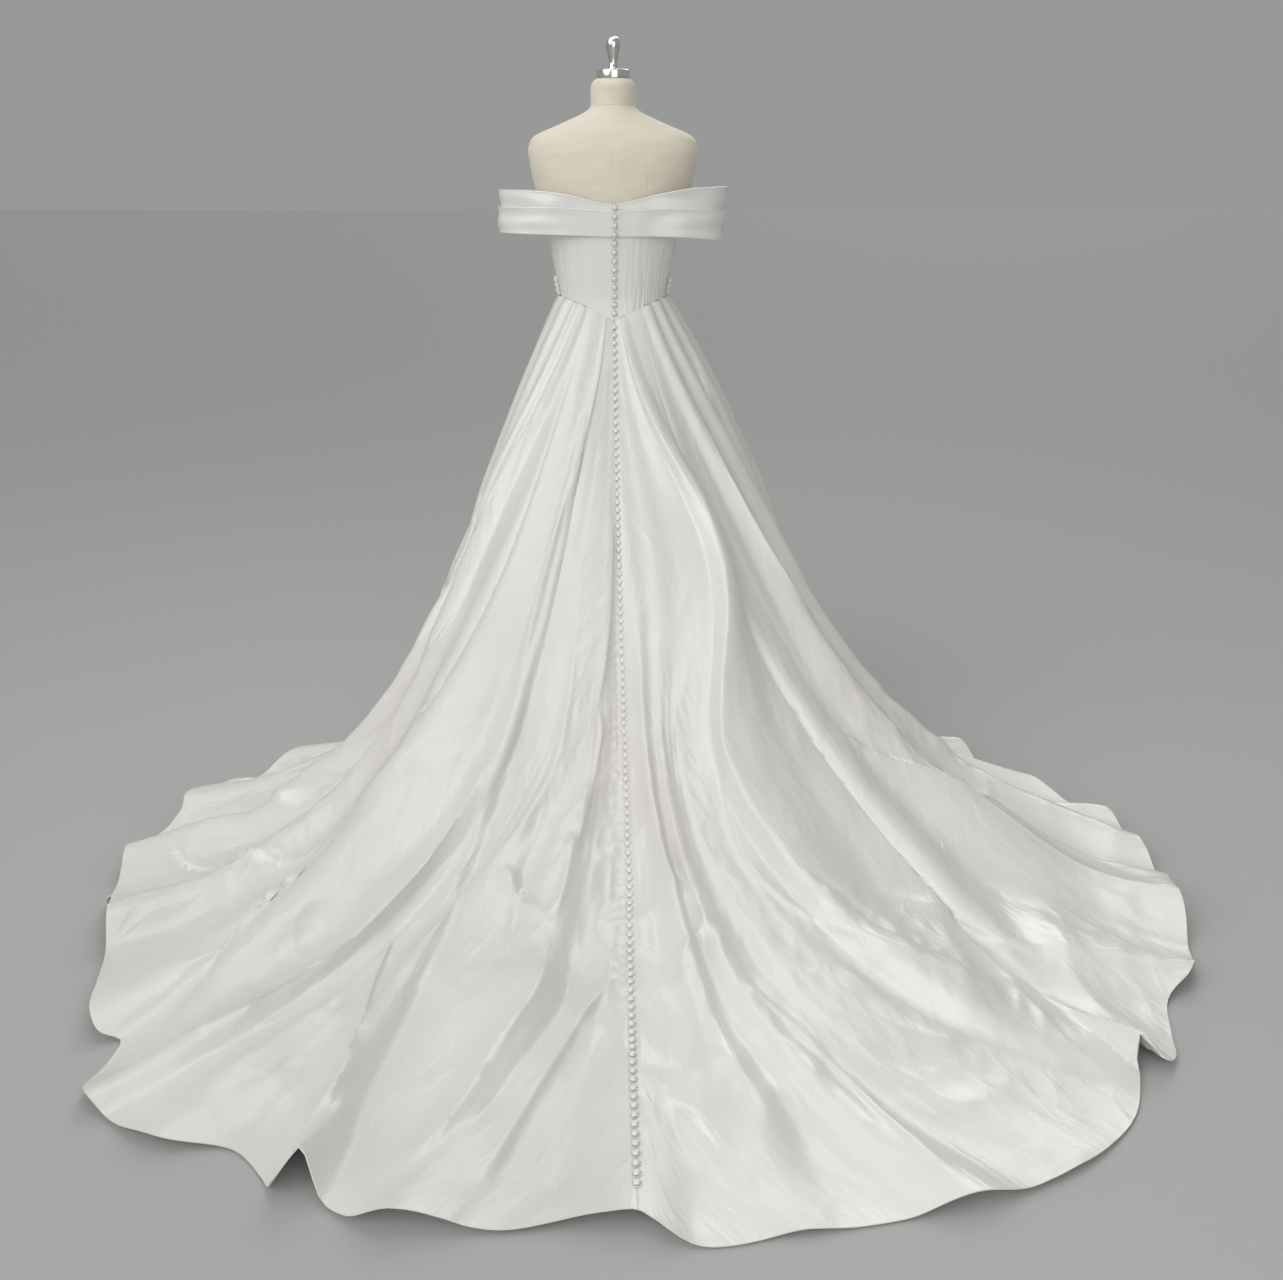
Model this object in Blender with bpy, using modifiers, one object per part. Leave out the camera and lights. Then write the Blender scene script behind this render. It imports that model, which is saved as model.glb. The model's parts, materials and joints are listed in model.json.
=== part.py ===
"""Off-the-shoulder satin wedding dress with a long train, standing on its limbless dress form.

Frame: metres, +Z up, origin on the floor under the form's pole. The dress faces -Y, its train runs to +Y,
and the wearer's left is +X. Angles go round the dress in degrees from the centre back towards the wearer's
left, so 90 is the left side, 180 the centre front and 270 the right side.
"""

import math

import bpy
import numpy as np

GAP = 0.0003                # between pieces that touch
CLOTH = 0.003               # skirt wall: satin, lining and net together, across the drape
BODICE_CLOTH = 0.0024
BODICE_EASE = 0.0014        # bodice lining to the form
BAND_CLOTH = 0.0022
BAND_EASE = 0.0010          # band to the bodice, and upper tier to lower tier
SEAM_HALF_GAP = 0.0003      # each panel edge stands back this far from the seam line

WAIST_SIDE_Z = 1.095        # waist seam at the sides
WAIST_DIP_BACK = 0.052      # how far it drops to a point at the centre back
WAIST_DIP_FRONT = 0.030     # and in a round curve at the centre front
WAIST_GAP = 0.0007          # bodice to skirt at the waist seam
FORM_ROUND = 2.15           # exponent of the torso's oval sections
CENTRE_BACK = 358.2         # angle of the button line

BUTTON_RADIUS, BUTTON_DEPTH = 0.0055, 0.0036
BUTTON_PITCH = 0.019
BUTTONS_ON_BODICE = 13
BUTTON_TOP_Z = 1.288

BASE_RADIUS, BASE_THICKNESS = 0.200, 0.012
POLE_RADIUS = 0.0125
CAP_RADIUS, CAP_HEIGHT = 0.0375, 0.019

# Torso of the form: height, half width, depth behind and in front of the pole
FORM = (
    (0.745, 0.152, 0.108, 0.102),
    (0.770, 0.161, 0.116, 0.107),
    (0.820, 0.166, 0.120, 0.110),
    (0.880, 0.163, 0.118, 0.108),
    (0.960, 0.145, 0.106, 0.102),
    (1.030, 0.1265, 0.096, 0.096),
    (1.090, 0.1205, 0.092, 0.093),
    (1.150, 0.130, 0.096, 0.102),
    (1.220, 0.144, 0.103, 0.118),
    (1.280, 0.160, 0.108, 0.126),
    (1.330, 0.176, 0.108, 0.118),
    (1.380, 0.187, 0.104, 0.104),
    (1.413, 0.1895, 0.097, 0.090),
    (1.438, 0.176, 0.086, 0.076),
    (1.465, 0.114, 0.070, 0.064),
    (1.492, 0.0570, 0.0560, 0.0560),
    (1.525, 0.0505, 0.0505, 0.0505),
    (1.545, 0.0480, 0.0480, 0.0480),
    (1.556, 0.0420, 0.0420, 0.0420),
)

# Bodice panels: name, angle where each starts and ends
BODICE_PANELS = (
    ("bodice_back_left", -1.8, 42),
    ("bodice_side_left", 42, 100),
    ("bodice_side_front_left", 100, 152),
    ("bodice_front", 152, 208),
    ("bodice_side_front_right", 208, 260),
    ("bodice_side_right", 260, 318),
    ("bodice_back_right", 318, 358.2),
)
# Top edge of the bodice, hidden under the band: angle, height
BODICE_TOP = ((0, 1.284), (60, 1.300), (120, 1.320), (155, 1.332), (180, 1.318), (205, 1.332), (240, 1.320), (300, 1.300))

# Off-the-shoulder band: angle, how far it stands off the bodice, top edge, folded top of the lower tier, bottom edge
BAND = (
    (0, 0.0000, 1.296, 1.281, 1.226),
    (22, 0.0002, 1.302, 1.284, 1.227),
    (45, 0.0120, 1.316, 1.288, 1.229),
    (62, 0.0430, 1.323, 1.289, 1.231),
    (76, 0.0770, 1.325, 1.289, 1.232),
    (86, 0.0915, 1.325, 1.289, 1.232),
    (93, 0.0925, 1.325, 1.289, 1.232),
    (102, 0.0790, 1.325, 1.289, 1.232),
    (120, 0.0410, 1.326, 1.290, 1.233),
    (140, 0.0110, 1.328, 1.292, 1.234),
    (160, 0.0004, 1.330, 1.293, 1.235),
    (180, 0.0000, 1.322, 1.288, 1.233),
    (200, 0.0004, 1.330, 1.293, 1.235),
    (220, 0.0110, 1.330, 1.290, 1.230),
    (240, 0.0410, 1.331, 1.285, 1.222),
    (258, 0.0790, 1.332, 1.279, 1.214),
    (267, 0.0925, 1.332, 1.277, 1.212),
    (274, 0.0915, 1.332, 1.278, 1.213),
    (284, 0.0770, 1.331, 1.281, 1.217),
    (298, 0.0430, 1.328, 1.285, 1.223),
    (315, 0.0120, 1.317, 1.286, 1.226),
    (338, 0.0002, 1.303, 1.283, 1.226),
)
BAND_REFERENCE_Z = 1.270    # the band's loops stand upright over the bodice's outline here
BAND_OVERLAP = 0.010        # the upper tier runs down this far behind the lower one

# Beaded trim over the front waist: angles of its two ends, height above the seam, thickness
TRIM_FROM, TRIM_TO = 76, 284
TRIM_LOW, TRIM_HIGH, TRIM_THICK = 0.002, 0.042, 0.003
TRIM_EASE = 0.0010

# Hem on the floor: angle, reach from the pole
HEM = (
    (0, 1.755), (8, 1.766), (11.6, 1.772), (13.2, 1.752), (14.6, 1.724), (15.7, 1.752),
    (16.8, 1.726), (19, 1.688), (23, 1.720), (27, 1.704), (28.6, 1.692), (29.4, 1.672), (30.2, 1.616), (31.3, 1.558),
    (32.6, 1.572), (33.8, 1.560), (36, 1.506), (39.5, 1.438), (44.4, 1.358), (45.8, 1.338), (47, 1.338), (52, 1.264),
    (56, 1.208), (58.6, 1.166), (60, 1.106), (63, 1.064), (65.6, 1.010), (67.6, 0.950), (69.2, 0.905), (72, 0.850),
    (75.5, 0.790), (78, 0.745), (80.5, 0.705), (84, 0.665), (90, 0.630), (100, 0.605), (115, 0.605), (145, 0.620),
    (180, 0.620), (215, 0.630), (245, 0.660), (264, 0.710), (274, 0.760), (279, 0.825), (283, 0.880), (287, 0.925),
    (292, 1.010), (295, 1.115), (296.6, 1.200), (298.2, 1.240), (301, 1.280), (306, 1.362), (309, 1.397), (314, 1.480),
    (319.3, 1.546), (321.4, 1.545), (325, 1.612), (327, 1.655), (328, 1.656), (328.7, 1.622), (329.8, 1.652),
    (331.8, 1.700), (335.3, 1.746), (340, 1.774), (346.4, 1.777), (350, 1.775), (356, 1.765),
)

# Profile of the drape from waist to hem, as the handles of one Bezier curve a direction:
# angle, outward and downward length of the first handle, inward length and height of the last one
DRAPE = (
    (0, 0.345, 0.675, 0.78, 0.027), (30, 0.40, 0.75, 0.69, 0.030), (60, 0.43, 0.86, 0.60, 0.010),
    (90, 0.41, 0.90, 0.42, 0.010), (130, 0.32, 0.58, 0.25, 0.190), (180, 0.17, 0.35, 0.12, 0.300),
    (230, 0.30, 0.54, 0.24, 0.190), (270, 0.40, 0.62, 0.40, 0.020), (300, 0.36, 0.68, 0.60, 0.010),
    (330, 0.34, 0.65, 0.70, 0.010),
)

# Folds of the skirt, one row a ridge. The angles and heights (mm) are at the waist, a quarter, half and three
# quarters of the way down, and at the hem. Valley says where the low line to the next ridge lies, as a share
# of the distance between them: near 0 or 1 makes a steep side.
STATIONS = (0, 0.25, 0.5, 0.75, 1)
FOLDS = (
    # angles                               heights               valley
    (-1.8, -1.8, -1.8, -1.4, -1.1,         0, 0, 0, 3, 32,       0.55),
    (1.5, 3.5, 4, 5.5, 9.8,                0, 0, 2, 22, 32,      0.60),
    (3.5, 8.5, 8, 16, 14.7,                0, 0, 4, 12, 56,      0.26),
    (5.5, 12.5, 11.5, 18.6, 23.0,          0, 0, 0, 6, 22,       0.80),
    (8.5, 18, 16.2, 21.5, 28.4,            4, 14, 24, 30, 24,    0.34),
    (24, 34, 30, 30.5, 34.5,               0, 12, 30, 36, 40,    0.62),
    (37, 53, 42, 40, 44,                   4, 20, 24, 32, 55,    0.50),
    (48, 62, 53, 50, 54,                   4, 20, 34, 44, 58,    0.50),
    (62, 72, 66, 62, 63,                   3, 14, 34, 38, 42,    0.50),
    (76, 84, 79, 75, 74,                   4, 20, 38, 38, 30,    0.50),
    (92, 96, 93, 91, 90,                   3, 14, 30, 40, 44,    0.50),
    (106, 108, 107, 106, 105,              4, 16, 30, 40, 46,    0.50),
    (121, 122, 122, 122, 121,              3, 14, 28, 40, 48,    0.50),
    (136, 137, 137, 137, 137,              4, 16, 28, 40, 48,    0.50),
    (151, 151, 152, 152, 152,              3, 14, 26, 38, 46,    0.50),
    (166, 166, 167, 167, 167,              4, 14, 24, 34, 42,    0.50),
    (186, 186, 185, 184, 183,              3, 14, 24, 34, 42,    0.50),
    (201, 201, 200, 199, 198,              4, 16, 26, 38, 46,    0.50),
    (216, 216, 216, 215, 214,              3, 14, 28, 40, 48,    0.50),
    (231, 230, 231, 231, 230,              4, 16, 28, 42, 50,    0.50),
    (246, 244, 246, 247, 247,              3, 14, 30, 42, 50,    0.50),
    (261, 257, 260, 262, 264,              4, 18, 34, 44, 52,    0.50),
    (275, 269, 272, 277, 281,              3, 16, 36, 38, 36,    0.50),
    (289, 282, 284, 289, 293,              4, 18, 38, 46, 56,    0.50),
    (303, 295, 297, 300, 302,              4, 22, 36, 46, 56,    0.50),
    (316, 311, 314, 313, 311,              4, 24, 42, 48, 52,    0.50),
    (332, 320, 326, 327, 319,              0, 8, 20, 28, 30,     0.42),
    (350, 331, 344, 339.4, 328.8,          4, 26, 38, 40, 20,    0.26),
    (353.2, 342, 350, 347, 337,            0, 0, 4, 10, 10,      0.50),
    (355.3, 349, 353, 351.3, 344,          0, 0, 4, 18, 16,      0.50),
    (356.8, 354, 355.3, 353.8, 351.5,      0, 0, 8, 28, 14,      0.50),
)
# Skirt panels: name, first and last ridge row, columns a fold (4 rounds it off, 2 leaves ridge and valley)
SKIRT_PANELS = (
    ("skirt_back_left", 0, 6, 4),
    ("skirt_side_left", 6, 12, 4),
    ("skirt_front", 12, 20, 2),
    ("skirt_side_right", 20, 25, 4),
    ("skirt_back_right", 25, 31, 4),
)
SKIRT_ROWS = (0, 0.035, 0.08, 0.14, 0.21, 0.29, 0.37, 0.45, 0.53, 0.61, 0.69, 0.77, 0.85, 0.93, 1)


def through(xs, ys, x, period=None):
    """A smooth curve through the rows of a table, read at x: cubic, with slopes from the neighbours."""
    xs, ys = np.asarray(xs, float), np.asarray(ys, float)
    if period:
        xs = np.concatenate([xs[-2:] - period, xs, xs[:2] + period])
        ys = np.concatenate([ys[-2:], ys, ys[:2]])
    slope = np.gradient(ys, xs)
    x = np.asarray(x, float)
    k = np.clip(np.searchsorted(xs, x, side="right") - 1, 0, len(xs) - 2)
    gap = xs[k + 1] - xs[k]
    s = np.clip((x - xs[k]) / gap, 0, 1)
    rise = s * s * (3 - 2 * s)
    bend = slope[k] * s * (1 - s) ** 2 - slope[k + 1] * s * s * (1 - s)
    return ys[k] + (ys[k + 1] - ys[k]) * rise + gap * bend


def column(table, i):
    return [row[i] for row in table]


def around(table, i, angle):
    """Column i of a table whose first column is an angle, read at any angle."""
    return through(column(table, 0), column(table, i), np.asarray(angle) % 360, 360)


def waist_z(angle):
    """Height of the waist seam."""
    rad = np.radians(np.asarray(angle) - CENTRE_BACK)
    dip = np.where(np.cos(rad) > 0, WAIST_DIP_BACK * (1 - np.abs(np.sin(rad))), WAIST_DIP_FRONT * np.cos(rad) ** 2)
    return WAIST_SIDE_Z - dip


def form_radius(angle, z):
    """Distance from the pole to the torso's surface."""
    rad = np.radians(angle)
    heights = column(FORM, 0)
    width = through(heights, column(FORM, 1), z)
    depth = np.where(np.cos(rad) > 0, through(heights, column(FORM, 2), z), through(heights, column(FORM, 3), z))
    s, c = np.abs(np.sin(rad)) / width, np.abs(np.cos(rad)) / depth
    return (s ** FORM_ROUND + c ** FORM_ROUND) ** (-1 / FORM_ROUND)


def polar(angle, radius, z):
    """Points from angles, distances from the pole and heights."""
    rad = np.radians(angle)
    radius, z = np.broadcast_arrays(radius, z)
    return np.stack([radius * np.sin(rad), radius * np.cos(rad), z], -1)


def material(name, colour, roughness, metallic=0.0):
    found = bpy.data.materials.new(name)
    found.use_nodes = True
    shader = found.node_tree.nodes["Principled BSDF"]
    shader.inputs["Base Color"].default_value = (*colour, 1)
    shader.inputs["Roughness"].default_value = roughness
    shader.inputs["Metallic"].default_value = metallic
    return found


SATIN = ("satin", (0.80, 0.79, 0.75), 0.35)
LINEN = ("form_linen", (0.70, 0.63, 0.49), 0.85)
NICKEL = ("nickel", (0.72, 0.70, 0.67), 0.18, 1.0)
ENAMEL = ("base_enamel", (0.78, 0.77, 0.74), 0.35)
PEARL = ("beaded_trim", (0.82, 0.80, 0.75), 0.30)


def add_object(name, mesh, finish):
    """Puts a mesh in the scene with a material of its own."""
    mesh.materials.append(material(name + "_" + finish[0], *finish[1:]))
    placed = bpy.data.objects.new(name, mesh)
    bpy.data.collections["wedding_dress"].objects.link(placed)
    return placed


def solid(name, points, faces, finish):
    mesh = bpy.data.meshes.new(name)
    mesh.from_pydata([tuple(p) for p in points], [], faces)
    mesh.shade_smooth()
    mesh.set_sharp_from_angle(angle=math.radians(40))
    return add_object(name, mesh, finish)


def wall(name, inner, outer, finish):
    """A closed wall between two grids of points, columns by rows. Columns go round with rising angle and rows
    go down. Both sides of a cell are cut along the same diagonal, so that the wall keeps its thickness."""
    columns, rows = inner.shape[:2]
    points = np.concatenate([inner.reshape(-1, 3), outer.reshape(-1, 3)])
    shift = columns * rows

    def at(i, j, side):
        return side * shift + i * rows + j

    faces = []
    for i in range(columns - 1):
        for j in range(rows - 1):
            for side, order in ((1, 1), (0, -1)):
                a, b = at(i, j, side), at(i + 1, j, side)
                c, d = at(i + 1, j + 1, side), at(i, j + 1, side)
                faces.append((a, b, c)[::order])
                faces.append((a, c, d)[::order])
    for i in range(columns - 1):
        faces.append((at(i, 0, 0), at(i + 1, 0, 0), at(i + 1, 0, 1), at(i, 0, 1)))
        faces.append((at(i, rows - 1, 1), at(i + 1, rows - 1, 1), at(i + 1, rows - 1, 0), at(i, rows - 1, 0)))
    for j in range(rows - 1):
        faces.append((at(0, j, 1), at(0, j + 1, 1), at(0, j + 1, 0), at(0, j, 0)))
        faces.append((at(columns - 1, j, 0), at(columns - 1, j + 1, 0), at(columns - 1, j + 1, 1), at(columns - 1, j, 1)))
    return solid(name, points, faces, finish)


def stand_back(grid, first=True, last=True):
    """Moves the edge columns of a grid in from the seam line."""
    moved = grid.copy()
    for edge, inner, wanted in ((0, 1, first), (-1, -2, last)):
        if wanted:
            step = grid[inner] - grid[edge]
            step /= np.linalg.norm(step, axis=-1, keepdims=True)
            moved[edge] += step * SEAM_HALF_GAP
    return moved


def lofted(name, rings, finish):
    """A closed solid through rings of points, capped at both ends. Rings go up and turn with rising angle."""
    count = len(rings[0])
    faces = []
    for k in range(len(rings) - 1):
        for i in range(count):
            a, b = k * count + i, k * count + (i + 1) % count
            faces.append((b, a, a + count, b + count))
    faces.append(tuple(range(count)))
    faces.append(tuple((len(rings) - 1) * count + i for i in reversed(range(count))))
    return solid(name, np.concatenate(rings), faces, finish)


def turned(name, profile, segments, finish):
    """A solid turned round the pole from (radius, height) points, top to bottom."""
    mesh = bpy.data.meshes.new(name)
    mesh.from_pydata([(r, 0, z) for r, z in profile], [(i, i + 1) for i in range(len(profile) - 1)], [])
    placed = add_object(name, mesh, finish)
    screw = placed.modifiers.new("turn", "SCREW")
    screw.steps = screw.render_steps = segments
    screw.use_merge_vertices = True
    screw.merge_threshold = 0.0001
    screw.use_smooth_shade = True
    return placed


def build_form():
    """Linen torso with its neck, nickel neck cap and finial, pole and round base."""
    angles = np.arange(0, 360, 10.0)
    hidden, dressed = np.linspace(FORM[0][0], 1.000, 6), np.linspace(1.025, 1.413, 15)
    shoulders = (1.427, 1.438, 1.452, 1.465, 1.479, 1.492, 1.525, 1.545, 1.556)
    heights = np.concatenate([hidden, dressed, shoulders])
    rings = [polar(angles, form_radius(angles, z), z) for z in heights]
    lofted("form_torso", rings, LINEN)
    neck_top = FORM[-1][0] + GAP
    cap_top = neck_top + CAP_HEIGHT
    turned("form_neck_cap", ((0, cap_top), (CAP_RADIUS - 0.003, cap_top), (CAP_RADIUS, cap_top - 0.003),
                             (CAP_RADIUS, neck_top + 0.002), (CAP_RADIUS - 0.002, neck_top), (0, neck_top)), 24, NICKEL)
    foot = cap_top + GAP
    finial = ((0, 0.067), (0.007, 0.066), (0.0135, 0.061), (0.0165, 0.053), (0.0160, 0.045), (0.0115, 0.026),
              (0.0095, 0.012), (0.0125, 0.004), (0.0135, 0), (0, 0))
    turned("form_finial", [(r, foot + z) for r, z in finial], 16, NICKEL)
    pole_bottom, pole_top = BASE_THICKNESS + 0.010 + GAP, FORM[0][0] - GAP
    turned("form_pole", ((0, pole_top), (POLE_RADIUS, pole_top), (POLE_RADIUS, pole_bottom), (0, pole_bottom)), 16, NICKEL)
    turned("form_base", ((0, pole_bottom - GAP), (0.030, pole_bottom - GAP), (0.034, BASE_THICKNESS),
                         (BASE_RADIUS - 0.004, BASE_THICKNESS), (BASE_RADIUS, BASE_THICKNESS - 0.004),
                         (BASE_RADIUS, 0), (0, 0)), 40, ENAMEL)


def bodice_radius(angle, z):
    """Distance from the pole to the bodice's outer face."""
    return form_radius(angle, z) + BODICE_EASE + BODICE_CLOTH


def build_bodice():
    """Seven fitted panels from the pointed waist seam up to the edge hidden under the band."""
    for name, start, end in BODICE_PANELS:
        angles = np.linspace(start, end, 8)[:, None]
        down = np.linspace(0, 1, 10)[None, :]
        top, bottom = around(BODICE_TOP, 1, angles), waist_z(angles) + WAIST_GAP
        z = top + (bottom - top) * down
        outer = polar(angles, bodice_radius(angles, z), z)
        inner = polar(angles, bodice_radius(angles, z) - BODICE_CLOTH, z)
        wall(name, stand_back(inner), stand_back(outer), SATIN)


def band_radius(angle, z):
    """Distance from the pole to the band's inner face: on the bodice at the back and front, off it at the arms."""
    stand_off = around(BAND, 1, angle)
    upright = np.clip(stand_off / 0.03, 0, 1)
    seat = bodice_radius(angle, z) * (1 - upright) + bodice_radius(angle, BAND_REFERENCE_Z) * upright
    return seat + BAND_EASE + stand_off


def build_band():
    """Two tiers, each a left and a right piece that part at the centre back and meet at the centre front.
    The lower tier lies outside the upper one."""
    layer = BAND_CLOTH + BAND_EASE
    for side, start, end in (("left", -1.8, 180), ("right", 180, 358.2)):
        rows = [a for a in sorted(column(BAND, 0) + [10, 33, 54, 69, 81, 97, 111, 130, 150, 170])]
        rows += [a for a in (190, 210, 230, 249, 263, 279, 291, 306, 327, 349)]
        angles = np.array([start] + sorted(a for a in set(rows) if start + 4 < a < end - 4) + [end], float)[:, None]
        for tier, top, bottom, lift in (
            ("upper", around(BAND, 2, angles), around(BAND, 3, angles) - BAND_OVERLAP, 0),
            ("lower", around(BAND, 3, angles), around(BAND, 4, angles), layer),
        ):
            z = top + (bottom - top) * np.linspace(0, 1, 4)[None, :]
            inner = polar(angles, band_radius(angles, z) + lift, z)
            outer = polar(angles, band_radius(angles, z) + lift + BAND_CLOTH, z)
            wall(f"band_{tier}_{side}", stand_back(inner), stand_back(outer), SATIN)


def build_trim():
    """Beaded trim over the waist seam, from side to side round the front."""
    angles = np.linspace(TRIM_FROM, TRIM_TO, 35)[:, None]
    z = waist_z(angles) + np.array([TRIM_HIGH, (TRIM_HIGH + TRIM_LOW) / 2, TRIM_LOW])[None, :]
    seat = bodice_radius(angles, z) + TRIM_EASE
    wall("waist_trim", polar(angles, seat, z), polar(angles, seat + TRIM_THICK, z), PEARL)


def drape_point(angle, v):
    """Lowest envelope of the skirt: v runs from 0 at the waist seam to 1 at the hem."""
    rad = np.radians(angle)
    waist = form_radius(angle, waist_z(angle)) + BODICE_EASE + GAP
    reach = around(HEM, 1, angle)
    flare, fall, sweep, rise = (around(DRAPE, i, angle) for i in range(1, 5))
    b0, b1, b2, b3 = (1 - v) ** 3, 3 * v * (1 - v) ** 2, 3 * v * v * (1 - v), v ** 3
    r = b0 * waist + b1 * (waist + flare) + b2 * (reach - sweep) + b3 * reach
    z = b0 * waist_z(angle) + b1 * (waist_z(angle) - fall) + b2 * rise
    return np.stack([r * np.sin(rad), r * np.cos(rad), z], -1)


def drape_normal(angle, v):
    """Outward direction of the envelope, level at the waist seam."""
    turn, step = 0.4, 0.004
    along = drape_point(angle, np.minimum(v + step, 1)) - drape_point(angle, np.maximum(v - step, 0))
    across = drape_point(angle + turn, v) - drape_point(angle - turn, v)
    normal = np.cross(across, along)
    normal /= np.linalg.norm(normal, axis=-1, keepdims=True)
    level = np.stack([np.sin(np.radians(angle)), np.cos(np.radians(angle)), np.zeros_like(angle)], -1)
    mix = np.clip(v / 0.05, 0, 1)[..., None]
    normal = level * (1 - mix) + normal * mix
    return normal / np.linalg.norm(normal, axis=-1, keepdims=True)


def fold_lines(first, last, v, columns=4):
    """Angles and heights of the columns from ridge row first to ridge row last."""
    ridges = [FOLDS[k % len(FOLDS)] for k in range(first, last + 1)]
    turns = [360 * (k // len(FOLDS)) for k in range(first, last + 1)]
    angles, heights = [], []
    for k, row in enumerate(ridges):
        angle = through(STATIONS, row[0:5], v) + turns[k]
        height = through(STATIONS, row[5:10], v) / 1000
        angles.append(angle)
        heights.append(height)
        if k == len(ridges) - 1:
            break
        after, valley = ridges[k + 1], row[10]
        next_angle = through(STATIONS, after[0:5], v) + turns[k + 1]
        next_height = through(STATIONS, after[5:10], v) / 1000
        between = ((valley / 2, height / 2), (valley, 0 * height), ((1 + valley) / 2, next_height / 2))
        for share, lift in between if columns == 4 else between[1:2]:
            angles.append(angle + (next_angle - angle) * share)
            heights.append(lift)
    return np.array(angles), np.maximum(np.array(heights), 0)


def skirt_grids(first, last, v, columns=4):
    """Inner and outer faces of the skirt between two ridge rows."""
    angles, heights = fold_lines(first, last, v, columns)
    v = np.broadcast_to(v, angles.shape)
    point, normal = drape_point(angles, v), drape_normal(angles, v)
    return point + normal * heights[..., None], point + normal * (heights + CLOTH)[..., None]


def build_skirt():
    """Five panels, each falling in the folds of its rows and lying on the floor at the hem."""
    for name, first, last, columns in SKIRT_PANELS:
        inner, outer = skirt_grids(first, last, np.array(SKIRT_ROWS, float), columns)
        wall(name, stand_back(inner), stand_back(outer), SATIN)


def button_mesh():
    """One covered button: a flattened ball whose short axis is Y."""
    bpy.ops.mesh.primitive_uv_sphere_add(segments=8, ring_count=5, radius=1)
    ball = bpy.context.object
    mesh = ball.data
    bpy.data.objects.remove(ball)
    for vertex in mesh.vertices:
        x, y, z = vertex.co
        vertex.co = (x * BUTTON_RADIUS, y * BUTTON_DEPTH, z * BUTTON_RADIUS)
    mesh.shade_smooth()
    return mesh


def build_buttons():
    """Covered buttons down the centre back: single ones on the band and bodice, then one run on the skirt."""
    angle = math.radians(CENTRE_BACK)
    for k in range(BUTTONS_ON_BODICE):
        z = BUTTON_TOP_Z - k * BUTTON_PITCH
        radius = float(bodice_radius(CENTRE_BACK, z))
        on_band = z > around(BAND, 4, 0) - BUTTON_RADIUS
        if on_band:
            radius += BAND_EASE + BAND_CLOTH
            if z < around(BAND, 3, 0) + BUTTON_RADIUS:
                radius += BAND_EASE + BAND_CLOTH
        radius += GAP + BUTTON_DEPTH
        placed = add_object(f"button_{k + 1:02d}", button_mesh(), SATIN)
        placed.location = (radius * math.sin(angle), radius * math.cos(angle), z)
    build_skirt_buttons()


def build_skirt_buttons():
    """The skirt's buttons share one solid, beads on a cord laid just over the centre back seam."""
    v = np.array(SKIRT_ROWS, float)
    _, left = skirt_grids(0, 1, v)
    seam = left[0]
    steps = np.linalg.norm(np.diff(seam, axis=0), axis=1)
    length = np.concatenate([[0], np.cumsum(steps)])
    first, count = 0.016, int((length[-1] - 0.030) / BUTTON_PITCH)
    rings = []
    for k in range(2 * count + 1):
        place = first + (k - 0.5) * BUTTON_PITCH / 2
        spot = np.array([np.interp(place, length, seam[:, i]) for i in range(3)])
        ahead = np.array([np.interp(place + 0.02, length, seam[:, i]) for i in range(3)])
        behind = np.array([np.interp(place - 0.02, length, seam[:, i]) for i in range(3)])
        along = (ahead - behind) / np.linalg.norm(ahead - behind)
        side = np.cross(along, (0, 0, 1.0))
        side /= np.linalg.norm(side)
        out = np.cross(side, along)
        wide, deep = (BUTTON_RADIUS, BUTTON_DEPTH) if k % 2 else (0.0016, 0.0012)
        centre = spot + out * (BUTTON_DEPTH + 2 * GAP)
        turn = np.radians(np.arange(0, 360, 60) + 30)
        rings.append(centre + np.outer(np.cos(turn) * wide, side) + np.outer(np.sin(turn) * deep, out))
    lofted("skirt_buttons", rings, SATIN)


def main():
    for old in list(bpy.data.objects):
        bpy.data.objects.remove(old)
    bpy.context.scene.collection.children.link(bpy.data.collections.new("wedding_dress"))
    build_form()
    build_bodice()
    build_band()
    build_trim()
    build_skirt()
    build_buttons()


main()
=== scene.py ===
"""Off-the-shoulder satin wedding dress with a long train, on its limbless dress form, in the order in which it is
put together: stand and linen torso, fitted bodice, pleated skirt, beaded waist, shoulder band, covered buttons.

Metres, +Z up, with the pole on the Z axis. The dress faces -Y and its train runs to +Y. Angles go round it in
degrees from the centre back towards the wearer's left, so 90 is the left side and 180 the centre front."""

import json
import math

import bpy
import numpy as np
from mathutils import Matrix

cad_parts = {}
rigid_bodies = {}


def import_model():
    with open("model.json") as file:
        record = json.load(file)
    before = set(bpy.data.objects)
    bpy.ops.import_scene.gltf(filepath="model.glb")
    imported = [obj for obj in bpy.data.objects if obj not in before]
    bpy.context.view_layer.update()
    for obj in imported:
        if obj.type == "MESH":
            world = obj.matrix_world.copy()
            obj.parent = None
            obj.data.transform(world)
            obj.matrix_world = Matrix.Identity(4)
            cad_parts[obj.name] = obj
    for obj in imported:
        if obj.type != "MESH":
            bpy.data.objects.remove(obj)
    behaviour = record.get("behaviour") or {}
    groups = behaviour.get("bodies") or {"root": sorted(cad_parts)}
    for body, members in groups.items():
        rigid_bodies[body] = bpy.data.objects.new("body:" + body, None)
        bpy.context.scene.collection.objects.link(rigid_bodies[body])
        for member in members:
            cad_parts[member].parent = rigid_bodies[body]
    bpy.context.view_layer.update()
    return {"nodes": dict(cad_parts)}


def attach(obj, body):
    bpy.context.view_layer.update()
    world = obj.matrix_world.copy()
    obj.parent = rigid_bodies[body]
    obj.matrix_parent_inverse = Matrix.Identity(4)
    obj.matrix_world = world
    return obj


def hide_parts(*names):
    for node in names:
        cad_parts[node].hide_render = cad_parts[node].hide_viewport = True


for startup in list(bpy.data.objects):
    bpy.data.objects.remove(startup)
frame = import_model()

# Base plate.
# The round foot of the dress form: a 12 mm steel disc with a raised boss for the pole, powder coated in
# stove-baked white enamel. It stands on the floor under the skirt.


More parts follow.
